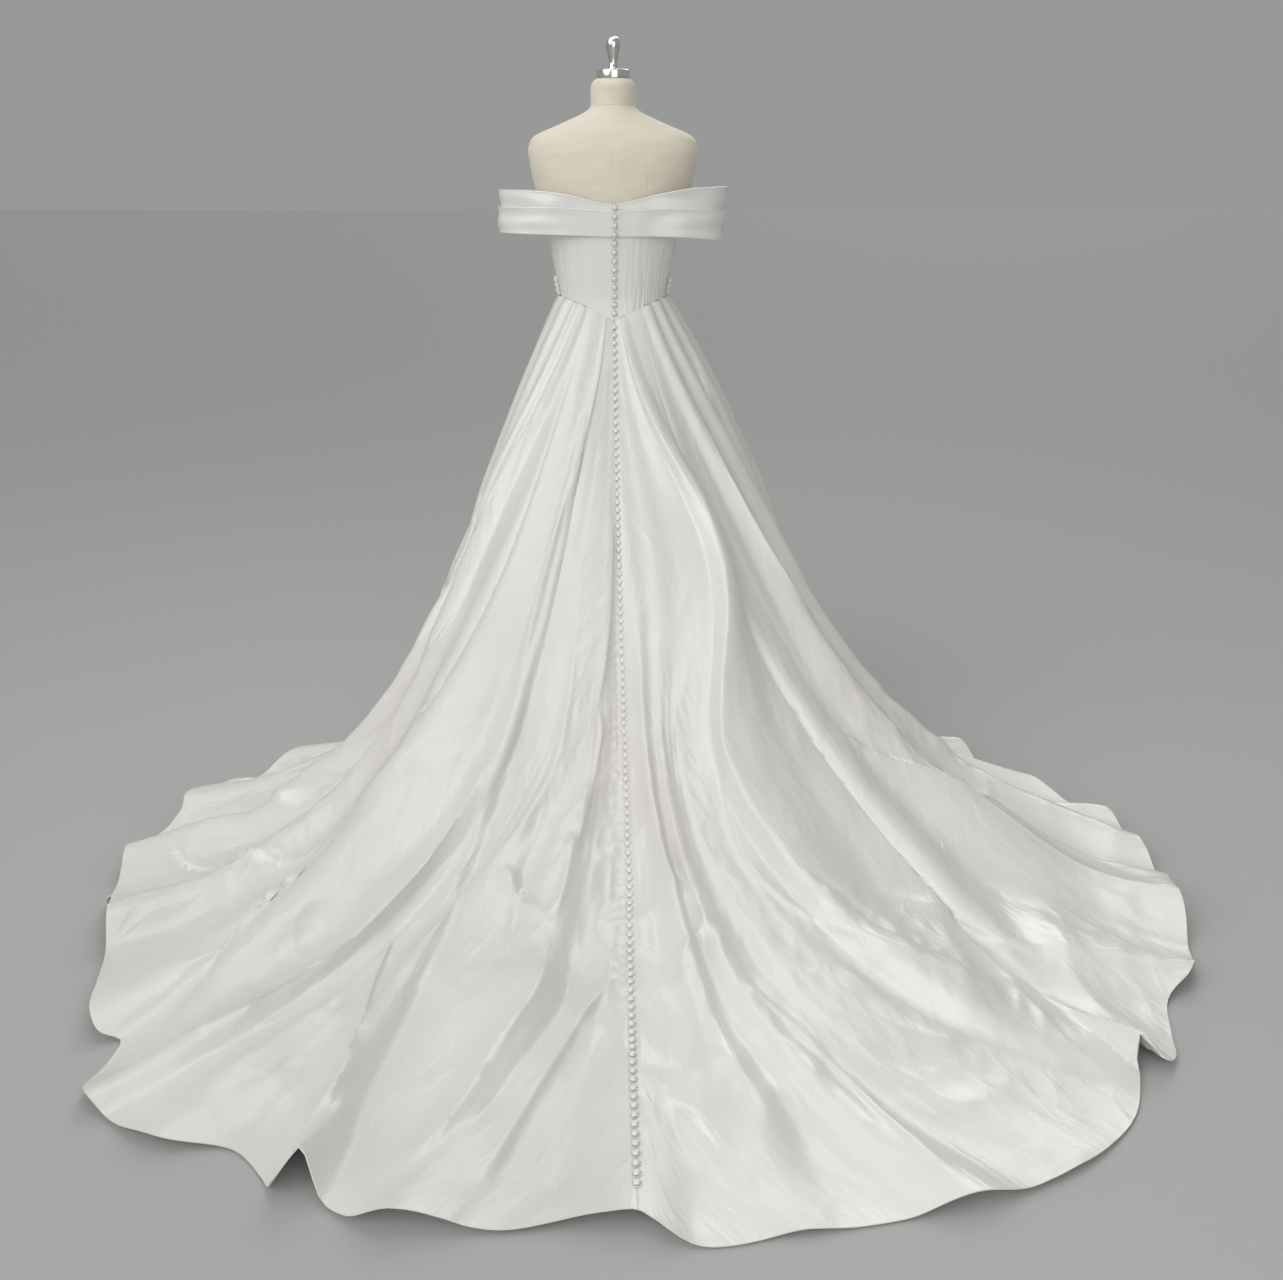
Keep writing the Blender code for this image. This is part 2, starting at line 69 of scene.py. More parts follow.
def linear(colour):
    """A '#RRGGBB' colour as a shader takes it."""
    parts = [int(colour[i:i + 2], 16) / 255 for i in (1, 3, 5)]
    return (*(c / 12.92 if c <= 0.04045 else ((c + 0.055) / 1.055) ** 2.4 for c in parts), 1.0)


def finish_for(name, **sockets):
    """A new material with its node tree and shader, and the shader's fixed values."""
    made = bpy.data.materials.new(name)
    made.use_nodes = True
    shader = made.node_tree.nodes["Principled BSDF"]
    for socket, value in sockets.items():
        shader.inputs[socket.replace("_", " ")].default_value = value
    return made, made.node_tree, shader


def add(tree, kind, inputs=None, **settings):
    """Adds one node. An input takes a number, a colour or another node's output."""
    made = tree.nodes.new("ShaderNode" + kind)
    for name, value in settings.items():
        setattr(made, name, value)
    for socket, value in (inputs or {}).items():
        if isinstance(value, bpy.types.NodeSocket):
            tree.links.new(value, made.inputs[socket])
        else:
            made.inputs[socket].default_value = value
    return made


def in_metres(tree, across=1.0, along=1.0):
    """Object coordinates, which are metres in this frame, stretched for a grain that runs up the piece."""
    place = add(tree, "TexCoord")
    return add(tree, "Mapping", {"Vector": place.outputs["Object"], "Scale": (across, across, along)}).outputs["Vector"]


# Powder coat: a glossy skin with a faint orange peel about 2 mm wide.
enamel, tree, shader = finish_for("powder_coated_steel", Roughness=0.32, Base_Color=linear("#E8E7E2"))
peel = add(tree, "TexNoise", {"Vector": in_metres(tree), "Scale": 500.0, "Detail": 2.0})
bump = add(tree, "Bump", {"Height": peel.outputs["Fac"], "Strength": 0.25, "Distance": 0.0002})
tree.links.new(bump.outputs["Normal"], shader.inputs["Normal"])


def refinish(node_name, finish):
    """Gives a CAD piece that stays its real finish."""
    placed = frame["nodes"][node_name]
    placed.data.materials.clear()
    placed.data.materials.append(finish)


refinish("form_base", enamel)

# Pole.
# A 25 mm steel tube from the foot up into the torso, bright nickel plated, with fine draw lines up its length.

nickel, tree, shader = finish_for("bright_nickel_plate", Metallic=1.0, Roughness=0.16)
lines = add(tree, "TexNoise", {"Vector": in_metres(tree, 1.0, 0.04), "Scale": 900.0, "Detail": 3.0})
worn = add(tree, "MapRange", {"Value": lines.outputs["Fac"], "To Min": 0.10, "To Max": 0.24})
tree.links.new(worn.outputs["Result"], shader.inputs["Roughness"])
tint = add(tree, "ValToRGB", {"Fac": lines.outputs["Fac"]})
tint.color_ramp.elements[0].color = linear("#D8D5CE")
tint.color_ramp.elements[1].color = linear("#EEECE8")
tree.links.new(tint.outputs["Color"], shader.inputs["Base Color"])

refinish("form_pole", nickel)

# Torso.
# A papier-mache torso with no arms or head, padded and covered in beige linen jersey that is sewn in vertical
# panels and closed with a seam round the neck. Shoulders and neck show above the dress.

# height, half width, depth behind and in front of the pole
TORSO = (
    (0.745, 0.152, 0.108, 0.102), (0.770, 0.161, 0.116, 0.107), (0.820, 0.166, 0.120, 0.110),
    (0.880, 0.163, 0.118, 0.108), (0.960, 0.145, 0.106, 0.102), (1.030, 0.1265, 0.096, 0.096),
    (1.090, 0.1205, 0.092, 0.093), (1.150, 0.130, 0.096, 0.102), (1.220, 0.144, 0.103, 0.118),
    (1.280, 0.160, 0.108, 0.126), (1.330, 0.176, 0.108, 0.118), (1.380, 0.187, 0.104, 0.104),
    (1.413, 0.1895, 0.097, 0.090), (1.438, 0.176, 0.086, 0.076), (1.465, 0.114, 0.070, 0.064),
    (1.492, 0.0570, 0.0560, 0.0560), (1.525, 0.0505, 0.0505, 0.0505), (1.545, 0.0480, 0.0480, 0.0480),
    (1.556, 0.0420, 0.0420, 0.0420),
)
TORSO_OVAL = 2.15
TORSO_SEAMS = (0, 38, 90, 142, 180, 218, 270, 322)     # angles of the sewn panel seams
NECK_SEAM_Z = 1.500


def through(xs, ys, x, period=None):
    """A smooth curve through a table's rows, read at x."""
    xs, ys = np.asarray(xs, float), np.asarray(ys, float)
    if period:
        xs = np.concatenate([xs[-2:] - period, xs, xs[:2] + period])
        ys = np.concatenate([ys[-2:], ys, ys[:2]])
    slope = np.gradient(ys, xs)
    x = np.asarray(x, float)
    k = np.clip(np.searchsorted(xs, x, side="right") - 1, 0, len(xs) - 2)
    gap = xs[k + 1] - xs[k]
    s = np.clip((x - xs[k]) / gap, 0, 1)
    bend = slope[k] * s * (1 - s) ** 2 - slope[k + 1] * s * s * (1 - s)
    return ys[k] + (ys[k + 1] - ys[k]) * s * s * (3 - 2 * s) + gap * bend


def around(table, column, angle):
    """One column of a table that goes round the dress by angle."""
    rows = np.array(table, float)
    return through(rows[:, 0], rows[:, column], np.asarray(angle) % 360, 360)


def torso_radius(angle, z):
    """Distance from the pole to the torso's linen."""
    rad, rows = np.radians(angle), np.array(TORSO)
    width, back, front = (through(rows[:, 0], rows[:, i], z) for i in (1, 2, 3))
    s, c = np.abs(np.sin(rad)) / width, np.abs(np.cos(rad)) / np.where(np.cos(rad) > 0, back, front)
    return (s ** TORSO_OVAL + c ** TORSO_OVAL) ** (-1 / TORSO_OVAL)


def polar(angle, radius, z):
    rad = np.radians(angle)
    radius, z = np.broadcast_arrays(radius, z)
    return np.stack([radius * np.sin(rad), radius * np.cos(rad), z], -1)


def place(name, points, faces, finish, rub=60):
    """A smooth mesh in the scene. faces is a list of arrays, each with faces of one number of corners."""
    mesh = bpy.data.meshes.new(name)
    corners = np.concatenate([np.asarray(f, np.int32).ravel() for f in faces])
    sizes = np.concatenate([np.full(len(f), np.shape(f)[1], np.int32) for f in faces])
    mesh.vertices.add(len(points))
    mesh.vertices.foreach_set("co", np.asarray(points, np.float32).ravel())
    mesh.loops.add(len(corners))
    mesh.loops.foreach_set("vertex_index", corners)
    mesh.polygons.add(len(sizes))
    mesh.polygons.foreach_set("loop_start", np.concatenate([[0], np.cumsum(sizes)[:-1]]).astype(np.int32))
    mesh.update(calc_edges=True)
    mesh.shade_smooth()
    mesh.set_sharp_from_angle(angle=math.radians(rub))
    mesh.materials.append(finish)
    placed = bpy.data.objects.new(name, mesh)
    bpy.context.scene.collection.objects.link(placed)
    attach(placed, "root")
    return placed


def rings(grid):
    """Faces round and up a grid of closed rings, rings by points, with a fan over each end."""
    count, each = grid.shape[:2]
    k, i = np.meshgrid(np.arange(count - 1), np.arange(each), indexing="ij")
    a, b = (k * each + i).ravel(), (k * each + (i + 1) % each).ravel()
    sides = np.stack([b, a, a + each, b + each], 1)
    ends = [np.arange(each)[None], (np.arange(each)[::-1] + (count - 1) * each)[None]]
    return [sides, *ends]


# Linen jersey: matt beige threads about 0.6 mm apart, drawn 1.4 mm apart so that they show, with slubs.
linen, tree, shader = finish_for("linen_jersey", Roughness=0.88, Sheen_Weight=0.25, Sheen_Roughness=0.5)
warp = add(tree, "TexWave", {"Vector": in_metres(tree), "Scale": 225.0, "Distortion": 1.2, "Detail": 2.0},
           bands_direction="Z")
weft = add(tree, "TexWave", {"Vector": in_metres(tree), "Scale": 225.0, "Distortion": 1.2, "Detail": 2.0},
           bands_direction="X")
threads = add(tree, "Math", {0: warp.outputs["Fac"], 1: weft.outputs["Fac"]}, operation="MULTIPLY")
slub = add(tree, "TexNoise", {"Vector": in_metres(tree, 1.0, 3.0), "Scale": 26.0, "Detail": 4.0})
tone = add(tree, "ValToRGB", {"Fac": slub.outputs["Fac"]})
tone.color_ramp.elements[0].position, tone.color_ramp.elements[1].position = 0.2, 0.85
tone.color_ramp.elements[0].color = linear("#DDD3BF")
tone.color_ramp.elements[1].color = linear("#E7DFCE")
tree.links.new(tone.outputs["Color"], shader.inputs["Base Color"])
weave = add(tree, "Bump", {"Height": threads.outputs["Value"], "Strength": 0.35, "Distance": 0.0004})
soft = add(tree, "Bump", {"Height": slub.outputs["Fac"], "Strength": 0.15, "Distance": 0.0015,
                          "Normal": weave.outputs["Normal"]})
tree.links.new(soft.outputs["Normal"], shader.inputs["Normal"])

angles = np.unique(np.concatenate([np.arange(0, 360, 3.0)]
                                  + [s % 360 + np.array([-1.3, -0.6, -0.25, 0, 0.25, 0.6, 1.3]) for s in TORSO_SEAMS]) % 360)
heights = np.unique(np.concatenate([np.linspace(0.745, 1.05, 14), np.linspace(1.05, 1.545, 110),
                                    NECK_SEAM_Z + np.array([-0.003, -0.0015, -0.0006, 0, 0.0006, 0.0015, 0.003]),
                                    [1.549, 1.552, 1.5545, 1.556]]))
turn, up = np.meshgrid(angles, heights)
radius = torso_radius(turn, up)
off_seam = np.min([np.abs((turn - s + 180) % 360 - 180) for s in TORSO_SEAMS], axis=0) * np.pi / 180 * radius
below_neck = np.clip((NECK_SEAM_Z - up) / 0.004, 0, 1)
radius = radius - 0.0003 * np.exp(-(off_seam / 0.0012) ** 2) * below_neck
radius = radius + 0.0002 * np.exp(-((off_seam - 0.0035) / 0.002) ** 2) * below_neck
radius = radius - 0.0009 * np.exp(-((up - NECK_SEAM_Z) / 0.0009) ** 2)
radius = radius - 0.004 * np.clip((up - 1.549) / 0.007, 0, 1) ** 2
cover = polar(turn, radius, up)
torso = place("linen_torso", cover.reshape(-1, 3), rings(cover), linen)
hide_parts("form_torso")

# Neck cap and finial.
# A turned cap closes the neck, and a teardrop finial to lift the form by is screwed into it. Both are solid
# steel, polished and nickel plated.

NECK_TOP = 1.5563
# radius and height of each turn, from the axis at the bottom to the axis at the top, in mm
CAP_TURNS = ((0, 0), (35.2, 0), (37.2, 1.2), (37.5, 3.0), (37.5, 15.5), (37.1, 17.2), (35.6, 18.6), (33.5, 19.0),
             (15.5, 19.0), (0, 19.0))
FINIAL_TURNS = ((0, 0), (13.2, 0), (13.6, 1.0), (13.4, 2.4), (12.2, 3.8), (10.6, 6.5), (9.7, 10.5), (9.6, 13.5),
                (10.3, 19.0), (11.5, 26.0), (13.2, 33.5), (15.0, 40.5), (16.2, 47.0), (16.6, 52.5), (15.9, 58.0),
                (13.7, 62.2), (10.2, 65.2), (5.4, 66.7), (0, 67.0))


def turned(name, turns, foot, finish, segments=56):
    """A solid turned round the pole."""
    profile = np.array(turns) / 1000
    fine = profile[1:-1]
    turn = np.arange(segments) * 360 / segments
    grid = np.array([polar(turn, np.full(segments, r), np.full(segments, foot + z)) for r, z in fine])
    count, each = grid.shape[:2]
    points = np.concatenate([grid.reshape(-1, 3), [[0, 0, foot + profile[0, 1]], [0, 0, foot + profile[-1, 1]]]])
    sides = rings(grid)[0]
    i = np.arange(each)
    low = np.stack([np.full(each, count * each), i, (i + 1) % each], 1)
    high = np.stack([np.full(each, count * each + 1), (count - 1) * each + (i + 1) % each, (count - 1) * each + i], 1)
    return place(name, points, [sides, low, high], finish, 38)


cap = turned("neck_cap", CAP_TURNS, NECK_TOP, nickel)
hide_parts("form_neck_cap")
finial = turned("finial", FINIAL_TURNS, NECK_TOP + 0.0193, nickel)
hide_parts("form_finial")

# Bodice.
# Seven close-fitting panels of satin over an interlined lining, seamed from the pointed waist up to an edge that
# the band covers. The satin is drawn into soft upright gathers that tighten towards the waist.

CENTRE_BACK = 358.2                 # angle of the button line
BODICE_EASE, BODICE_CLOTH = 0.0014, 0.0024
SEAM_HALF_GAP = 0.00015
BODICE_PANELS = (("bodice_back_left", -1.8, 42), ("bodice_side_left", 42, 100), ("bodice_side_front_left", 100, 152),
                 ("bodice_front", 152, 208), ("bodice_side_front_right", 208, 260), ("bodice_side_right", 260, 318),
                 ("bodice_back_right", 318, 358.2))
BODICE_TOP = ((0, 1.284), (60, 1.300), (120, 1.320), (155, 1.332), (180, 1.318), (205, 1.332), (240, 1.320), (300, 1.300))


def waist_height(angle):
    """Height of the waist seam: a point at the centre back, a round dip in front."""
    rad = np.radians(np.asarray(angle) - CENTRE_BACK)
    return 1.095 - np.where(np.cos(rad) > 0, 0.052 * (1 - np.abs(np.sin(rad))), 0.030 * np.cos(rad) ** 2)


def bodice_radius(angle, z):
    return torso_radius(angle, z) + BODICE_EASE + BODICE_CLOTH


def ripples(x, y, seed, waves=9):
    """Even, rounded unevenness about 1 wide and high: waves of many directions, from -1 to 1 or so."""
    draw = np.random.default_rng(seed)
    total = 0
    for _ in range(waves):
        way, size, start = draw.uniform(0, math.pi), draw.uniform(0.7, 1.5), draw.uniform(0, 2 * math.pi)
        total = total + np.sin(2 * math.pi * (x * math.cos(way) + y * math.sin(way)) / size + start)
    return total / math.sqrt(waves)


def surface_normal(grid):
    """Outward direction at each point of a grid of columns, going round, by rows, going down."""
    across, down = np.gradient(grid, axis=0), np.gradient(grid, axis=1)
    normal = np.cross(across, down)
    return normal / np.maximum(np.linalg.norm(normal, axis=-1, keepdims=True), 1e-12)


def cloth(name, outer, inner, finish):
    """A thin closed shell between two grids of points, with the cut cloth's own metres as its UV map. The inner
    grid may have every second column and row of the outer one."""
    step = (outer.shape[0] - 1) // (inner.shape[0] - 1)
    shift = outer.shape[0] * outer.shape[1]

    def numbers(grid, start):
        return np.arange(grid.shape[0] * grid.shape[1]).reshape(grid.shape[:2]) + start

    def cells(n):
        return np.stack([n[:-1, :-1], n[1:, :-1], n[1:, 1:], n[:-1, 1:]], -1).reshape(-1, 4)

    top, under = numbers(outer, 0), numbers(inner, shift)
    faces = [cells(top), cells(under)[:, ::-1]]
    for face, back, flip in ((top[:, 0], under[:, 0], True), (top[:, -1], under[:, -1], False),
                             (top[0], under[0], False), (top[-1], under[-1], True)):
        if step == 1:
            rim = [np.stack([face[:-1], face[1:], back[1:], back[:-1]], 1)]
        else:
            a, b, c = face[0:-1:2], face[1::2], face[2::2]
            rim = [np.stack([a, b, back[:-1]], 1), np.stack([b, back[1:], back[:-1]], 1), np.stack([b, c, back[1:]], 1)]
        faces += [r[:, ::-1] if flip else r for r in rim]
    placed = place(name, np.concatenate([outer.reshape(-1, 3), inner.reshape(-1, 3)]), faces, finish)
    cut = []
    for grid in (outer, inner):
        across = np.linalg.norm(np.diff(grid, axis=0, prepend=grid[:1]), axis=-1).cumsum(0)
        along = np.linalg.norm(np.diff(grid, axis=1, prepend=grid[:, :1]), axis=-1).cumsum(1)
        cut.append(np.stack([across - across[-1:] / 2, along], -1).reshape(-1, 2))
    mesh = placed.data
    corner = np.empty(len(mesh.loops), np.int32)
    mesh.loops.foreach_get("vertex_index", corner)
    mesh.uv_layers.new(name="cut").data.foreach_set("uv", np.concatenate(cut)[corner].astype(np.float32).ravel())
    return placed


def satin_finish(name, grain, crumple, tones, laid_flat=True):
    """Heavy duchess satin: long floats give a soft, stretched gloss, and the cross threads faint slubs about 1 mm
    wide. Cloth handled and packed keeps drawn lines 20 to 30 mm apart, over dents about 0.1 m wide and 0.3 m long."""
    made, tree, shader = finish_for(name, Roughness=0.36, Sheen_Weight=0.10, Sheen_Roughness=0.4,
                                    Anisotropic=0.4, IOR=1.55, Specular_IOR_Level=0.85)
    cut = add(tree, "UVMap", uv_map="cut").outputs["UV"] if laid_flat else in_metres(tree)

    def stretched(across, along):
        return add(tree, "Mapping", {"Vector": cut, "Scale": (across, along, 1.0)}).outputs["Vector"]

    slubs = add(tree, "TexNoise", {"Vector": stretched(9.0, 420.0), "Scale": 1.0, "Detail": 3.0})
    floats = add(tree, "TexNoise", {"Vector": stretched(160.0, 7.0), "Scale": 1.0, "Detail": 4.0})
    creases = add(tree, "TexNoise", {"Vector": stretched(9.0, 3.6), "Scale": 1.0, "Detail": 3.0, "Roughness": 0.45,
                                     "Distortion": 0.4, "Offset": 1.0}, noise_type="RIDGED_MULTIFRACTAL")
    drawn = add(tree, "TexNoise", {"Vector": stretched(42.0, 10.0), "Scale": 1.0, "Detail": 4.0, "Distortion": 0.8})
    dents = add(tree, "Math", {0: drawn.outputs["Fac"], 1: 1.2, 2: creases.outputs["Fac"]}, operation="MULTIPLY_ADD")
    patches = add(tree, "TexNoise", {"Vector": stretched(3.2, 1.4), "Scale": 1.0, "Detail": 2.0})
    tone = add(tree, "ValToRGB", {"Fac": patches.outputs["Fac"]})
    tone.color_ramp.elements[0].position, tone.color_ramp.elements[1].position = 0.32, 0.68
    tone.color_ramp.elements[0].color, tone.color_ramp.elements[1].color = linear(tones[0]), linear(tones[1])
    shine = add(tree, "MapRange", {"Value": floats.outputs["Fac"], "To Min": 0.23, "To Max": 0.41})
    tree.links.new(shine.outputs["Result"], shader.inputs["Roughness"])
    tree.links.new(tone.outputs["Color"], shader.inputs["Base Color"])
    first = add(tree, "Bump", {"Height": slubs.outputs["Fac"], "Strength": grain, "Distance": 0.0005})
    second = add(tree, "Bump", {"Height": dents.outputs["Value"], "Strength": crumple, "Distance": 0.004,
                                "Normal": first.outputs["Normal"]})
    tree.links.new(second.outputs["Normal"], shader.inputs["Normal"])
    if laid_flat:
        weft = add(tree, "Tangent", direction_type="UV_MAP", uv_map="cut")
        tree.links.new(weft.outputs["Tangent"], shader.inputs["Tangent"])
    return made


# The bodice is the same satin as the skirt but has lighter tones. This is painted light, making up for the weaker light
# that falls on the upright bodice.
bodice_satin_painted_lighter = satin_finish("ivory_satin_bodice_painted_lighter", 0.25, 0.12, ("#E6E3DF", "#ECEBE8"))

for name, start, end in BODICE_PANELS:
    edge = math.degrees(SEAM_HALF_GAP / 0.125)
    near = np.array([0, 0.35, 0.8, 1.4])
    angle = np.concatenate([start + edge + near, np.linspace(start + 2.2, end - 2.2, int((end - start) * 1.1)),
                            end - edge - near[::-1]])[:, None]
    down = np.linspace(0, 1, 64)[None, :]
    top, bottom = around(BODICE_TOP, 1, angle), waist_height(angle) + 0.0002
    z = top + (bottom - top) * down
    pull = np.clip((down - 0.12) / 0.5, 0, 1)
    gathers = ripples(angle / 5.2 + 0.25 * ripples(z / 0.09, angle / 40, 5), z / 0.30, 11)
    fine = ripples(angle / 2.4, z / 0.22, 12) * np.clip((down - 0.55) / 0.3, 0, 1)
    side = np.exp(-((np.abs((angle + 180) % 360 - 180) - 45) / 30) ** 2)
    lift = (0.00055 * gathers * (0.35 + 0.65 * side) + 0.00035 * fine * side) * pull
    to_seam = np.minimum(angle - angle[0], angle[-1] - angle) * 0.0022
    lift = lift * np.clip(to_seam / 0.006, 0, 1) - 0.0004 * np.exp(-(to_seam / 0.0014) ** 2)
    outer = polar(angle, bodice_radius(angle, z) + lift, z)
    inner = polar(angle, bodice_radius(angle, z) + lift - 0.0022, z)
    panel = cloth(name + "_satin", outer, inner, bodice_satin_painted_lighter)
    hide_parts(name)

# Skirt.
# Five gores of heavy satin over net and lining, pleated into the waist seam. They fall in long flutes to the floor
# and spread behind as a chapel train. The folds keep the creases in which the dress was packed.

SKIRT_CLOTH = 0.003
# Hem on the floor: angle, distance from the pole
HEM = (
    (0, 1.742), (2, 1.745), (5, 1.762), (8, 1.768), (11.6, 1.774), (13.2, 1.752), (14.6, 1.724), (15.7, 1.752),
    (16.8, 1.726), (19, 1.688), (23, 1.720), (27, 1.704), (28.6, 1.692), (29.4, 1.672), (30.2, 1.616), (31.3, 1.558),
    (32.6, 1.572), (33.8, 1.560), (36, 1.506), (39.5, 1.438), (44.4, 1.358), (45.8, 1.338), (47, 1.338), (52, 1.264),
    (56, 1.208), (58.6, 1.166), (60, 1.106), (63, 1.064), (65.6, 1.010), (67.6, 0.950), (69.2, 0.905), (72, 0.850),
    (75.5, 0.790), (78, 0.745), (80.5, 0.705), (84, 0.665), (90, 0.630), (100, 0.605), (115, 0.605), (145, 0.620),
    (180, 0.620), (215, 0.630), (245, 0.660), (264, 0.710), (274, 0.760), (279, 0.825), (283, 0.880), (287, 0.925),
    (292, 1.010), (295, 1.115), (296.6, 1.200), (298.2, 1.240), (301, 1.280), (306, 1.362), (309, 1.397), (314, 1.480),
    (319.3, 1.546), (321.4, 1.545), (325, 1.612), (327, 1.655), (328, 1.656), (328.7, 1.622), (329.8, 1.652),
    (331.8, 1.700), (335.3, 1.746), (340, 1.774), (346.4, 1.777), (352, 1.776), (357.4, 1.772), (358.8, 1.742),
)
# Drape from waist to hem as one Bezier curve a direction: angle, outward and downward length of its first handle,
# inward length and height of its last one
DRAPE = (
    (0, 0.345, 0.675, 0.78, 0.027), (30, 0.40, 0.75, 0.69, 0.030), (60, 0.43, 0.86, 0.60, 0.010),
    (90, 0.41, 0.90, 0.42, 0.010), (130, 0.32, 0.58, 0.25, 0.190), (180, 0.17, 0.35, 0.12, 0.300),
    (230, 0.30, 0.54, 0.24, 0.190), (270, 0.40, 0.62, 0.40, 0.020), (300, 0.36, 0.68, 0.60, 0.010),
    (330, 0.34, 0.65, 0.70, 0.010),
)
# Folds, one row a ridge: its angles and its heights in mm at the waist, a quarter, half and three quarters of the
# way down and at the hem, then where the low line to the next ridge lies, and how wide (under 1) or narrow the crest is
STATIONS = (0, 0.25, 0.5, 0.75, 1)
FOLDS = (
    # angles                               heights               valley, crest
    (-1.8, -1.8, -1.8, -1.4, -1.1,         0, 0, 0, 3, 32,       0.55, 1.0),
    (1.5, 3.5, 4, 5.5, 9.8,                0, 0, 2, 22, 32,      0.60, 1.2),
    (3.5, 8.5, 8, 16, 14.7,                0, 0, 4, 12, 46,      0.26, 1.6),
    (5.5, 12.5, 11.5, 18.6, 23.0,          0, 0, 0, 6, 22,       0.66, 1.0),
    (8.5, 18, 16.2, 21.5, 28.4,            1, 8, 15, 22, 22,     0.34, 0.9),
    (24, 34, 30, 30.5, 34.5,               0, 12, 30, 36, 40,    0.62, 1.0),
    (37, 53, 42, 40, 44,                   4, 20, 24, 32, 55,    0.50, 0.9),
    (48, 62, 53, 50, 54,                   4, 20, 34, 44, 58,    0.50, 1.3),
    (62, 72, 66, 62, 63,                   3, 14, 34, 38, 42,    0.50, 0.9),
    (76, 84, 79, 75, 74,                   4, 20, 38, 38, 30,    0.50, 1.2),
    (92, 96, 93, 91, 90,                   3, 14, 30, 40, 44,    0.50, 0.9),
    (106, 108, 107, 106, 105,              4, 16, 30, 40, 46,    0.50, 1.3),
    (121, 122, 122, 122, 121,              3, 14, 28, 40, 48,    0.50, 0.9),
    (136, 137, 137, 137, 137,              4, 16, 28, 40, 48,    0.50, 1.2),
    (151, 151, 152, 152, 152,              3, 14, 26, 38, 46,    0.50, 1.0),
    (166, 166, 167, 167, 167,              4, 14, 24, 34, 42,    0.50, 1.3),
    (186, 186, 185, 184, 183,              3, 14, 24, 34, 42,    0.50, 0.9),
    (201, 201, 200, 199, 198,              4, 16, 26, 38, 46,    0.50, 1.2),
    (216, 216, 216, 215, 214,              3, 14, 28, 40, 48,    0.50, 0.9),
    (231, 230, 231, 231, 230,              4, 16, 28, 42, 50,    0.50, 1.3),
    (246, 244, 246, 247, 247,              3, 14, 30, 42, 50,    0.50, 1.0),
    (261, 257, 260, 262, 264,              4, 18, 34, 44, 52,    0.50, 1.2),
    (275, 269, 272, 277, 281,              3, 16, 36, 38, 34,    0.50, 0.9),
    (289, 282, 284, 289, 293,              4, 18, 38, 46, 56,    0.50, 1.2),
    (303, 295, 297, 300, 302,              4, 22, 36, 46, 56,    0.50, 1.0),
    (316, 311, 314, 313, 311,               4, 24, 42, 48, 52,    0.50, 0.9),
    (332, 320, 326, 327, 319,               0, 4, 14, 26, 26,     0.42, 1.1),
    (350, 331, 344, 339.4, 328.8,           4, 26, 38, 40, 10,    0.26, 0.8),
    (353.2, 342, 350, 347, 337,            0, 0, 4, 10, 10,      0.50, 1.0),
    (355.3, 349, 353, 351.3, 344,          0, 0, 4, 18, 16,      0.50, 1.2),
    (356.8, 354, 355.3, 353.8, 351.5,      0, 0, 8, 28, 14,      0.50, 1.1),
)
# Gores: name, first and last ridge row, width at the waist, width at the hem and length of the flat cut, in metres
GORES = (
    ("skirt_back_left", 0, 6, 0.12, 1.30, 2.15), ("skirt_side_left", 6, 12, 0.20, 1.15, 1.60),
    ("skirt_front", 12, 20, 0.30, 1.60, 1.20), ("skirt_side_right", 20, 25, 0.16, 1.20, 1.60),
    ("skirt_back_right", 25, 31, 0.12, 1.30, 2.15),
)
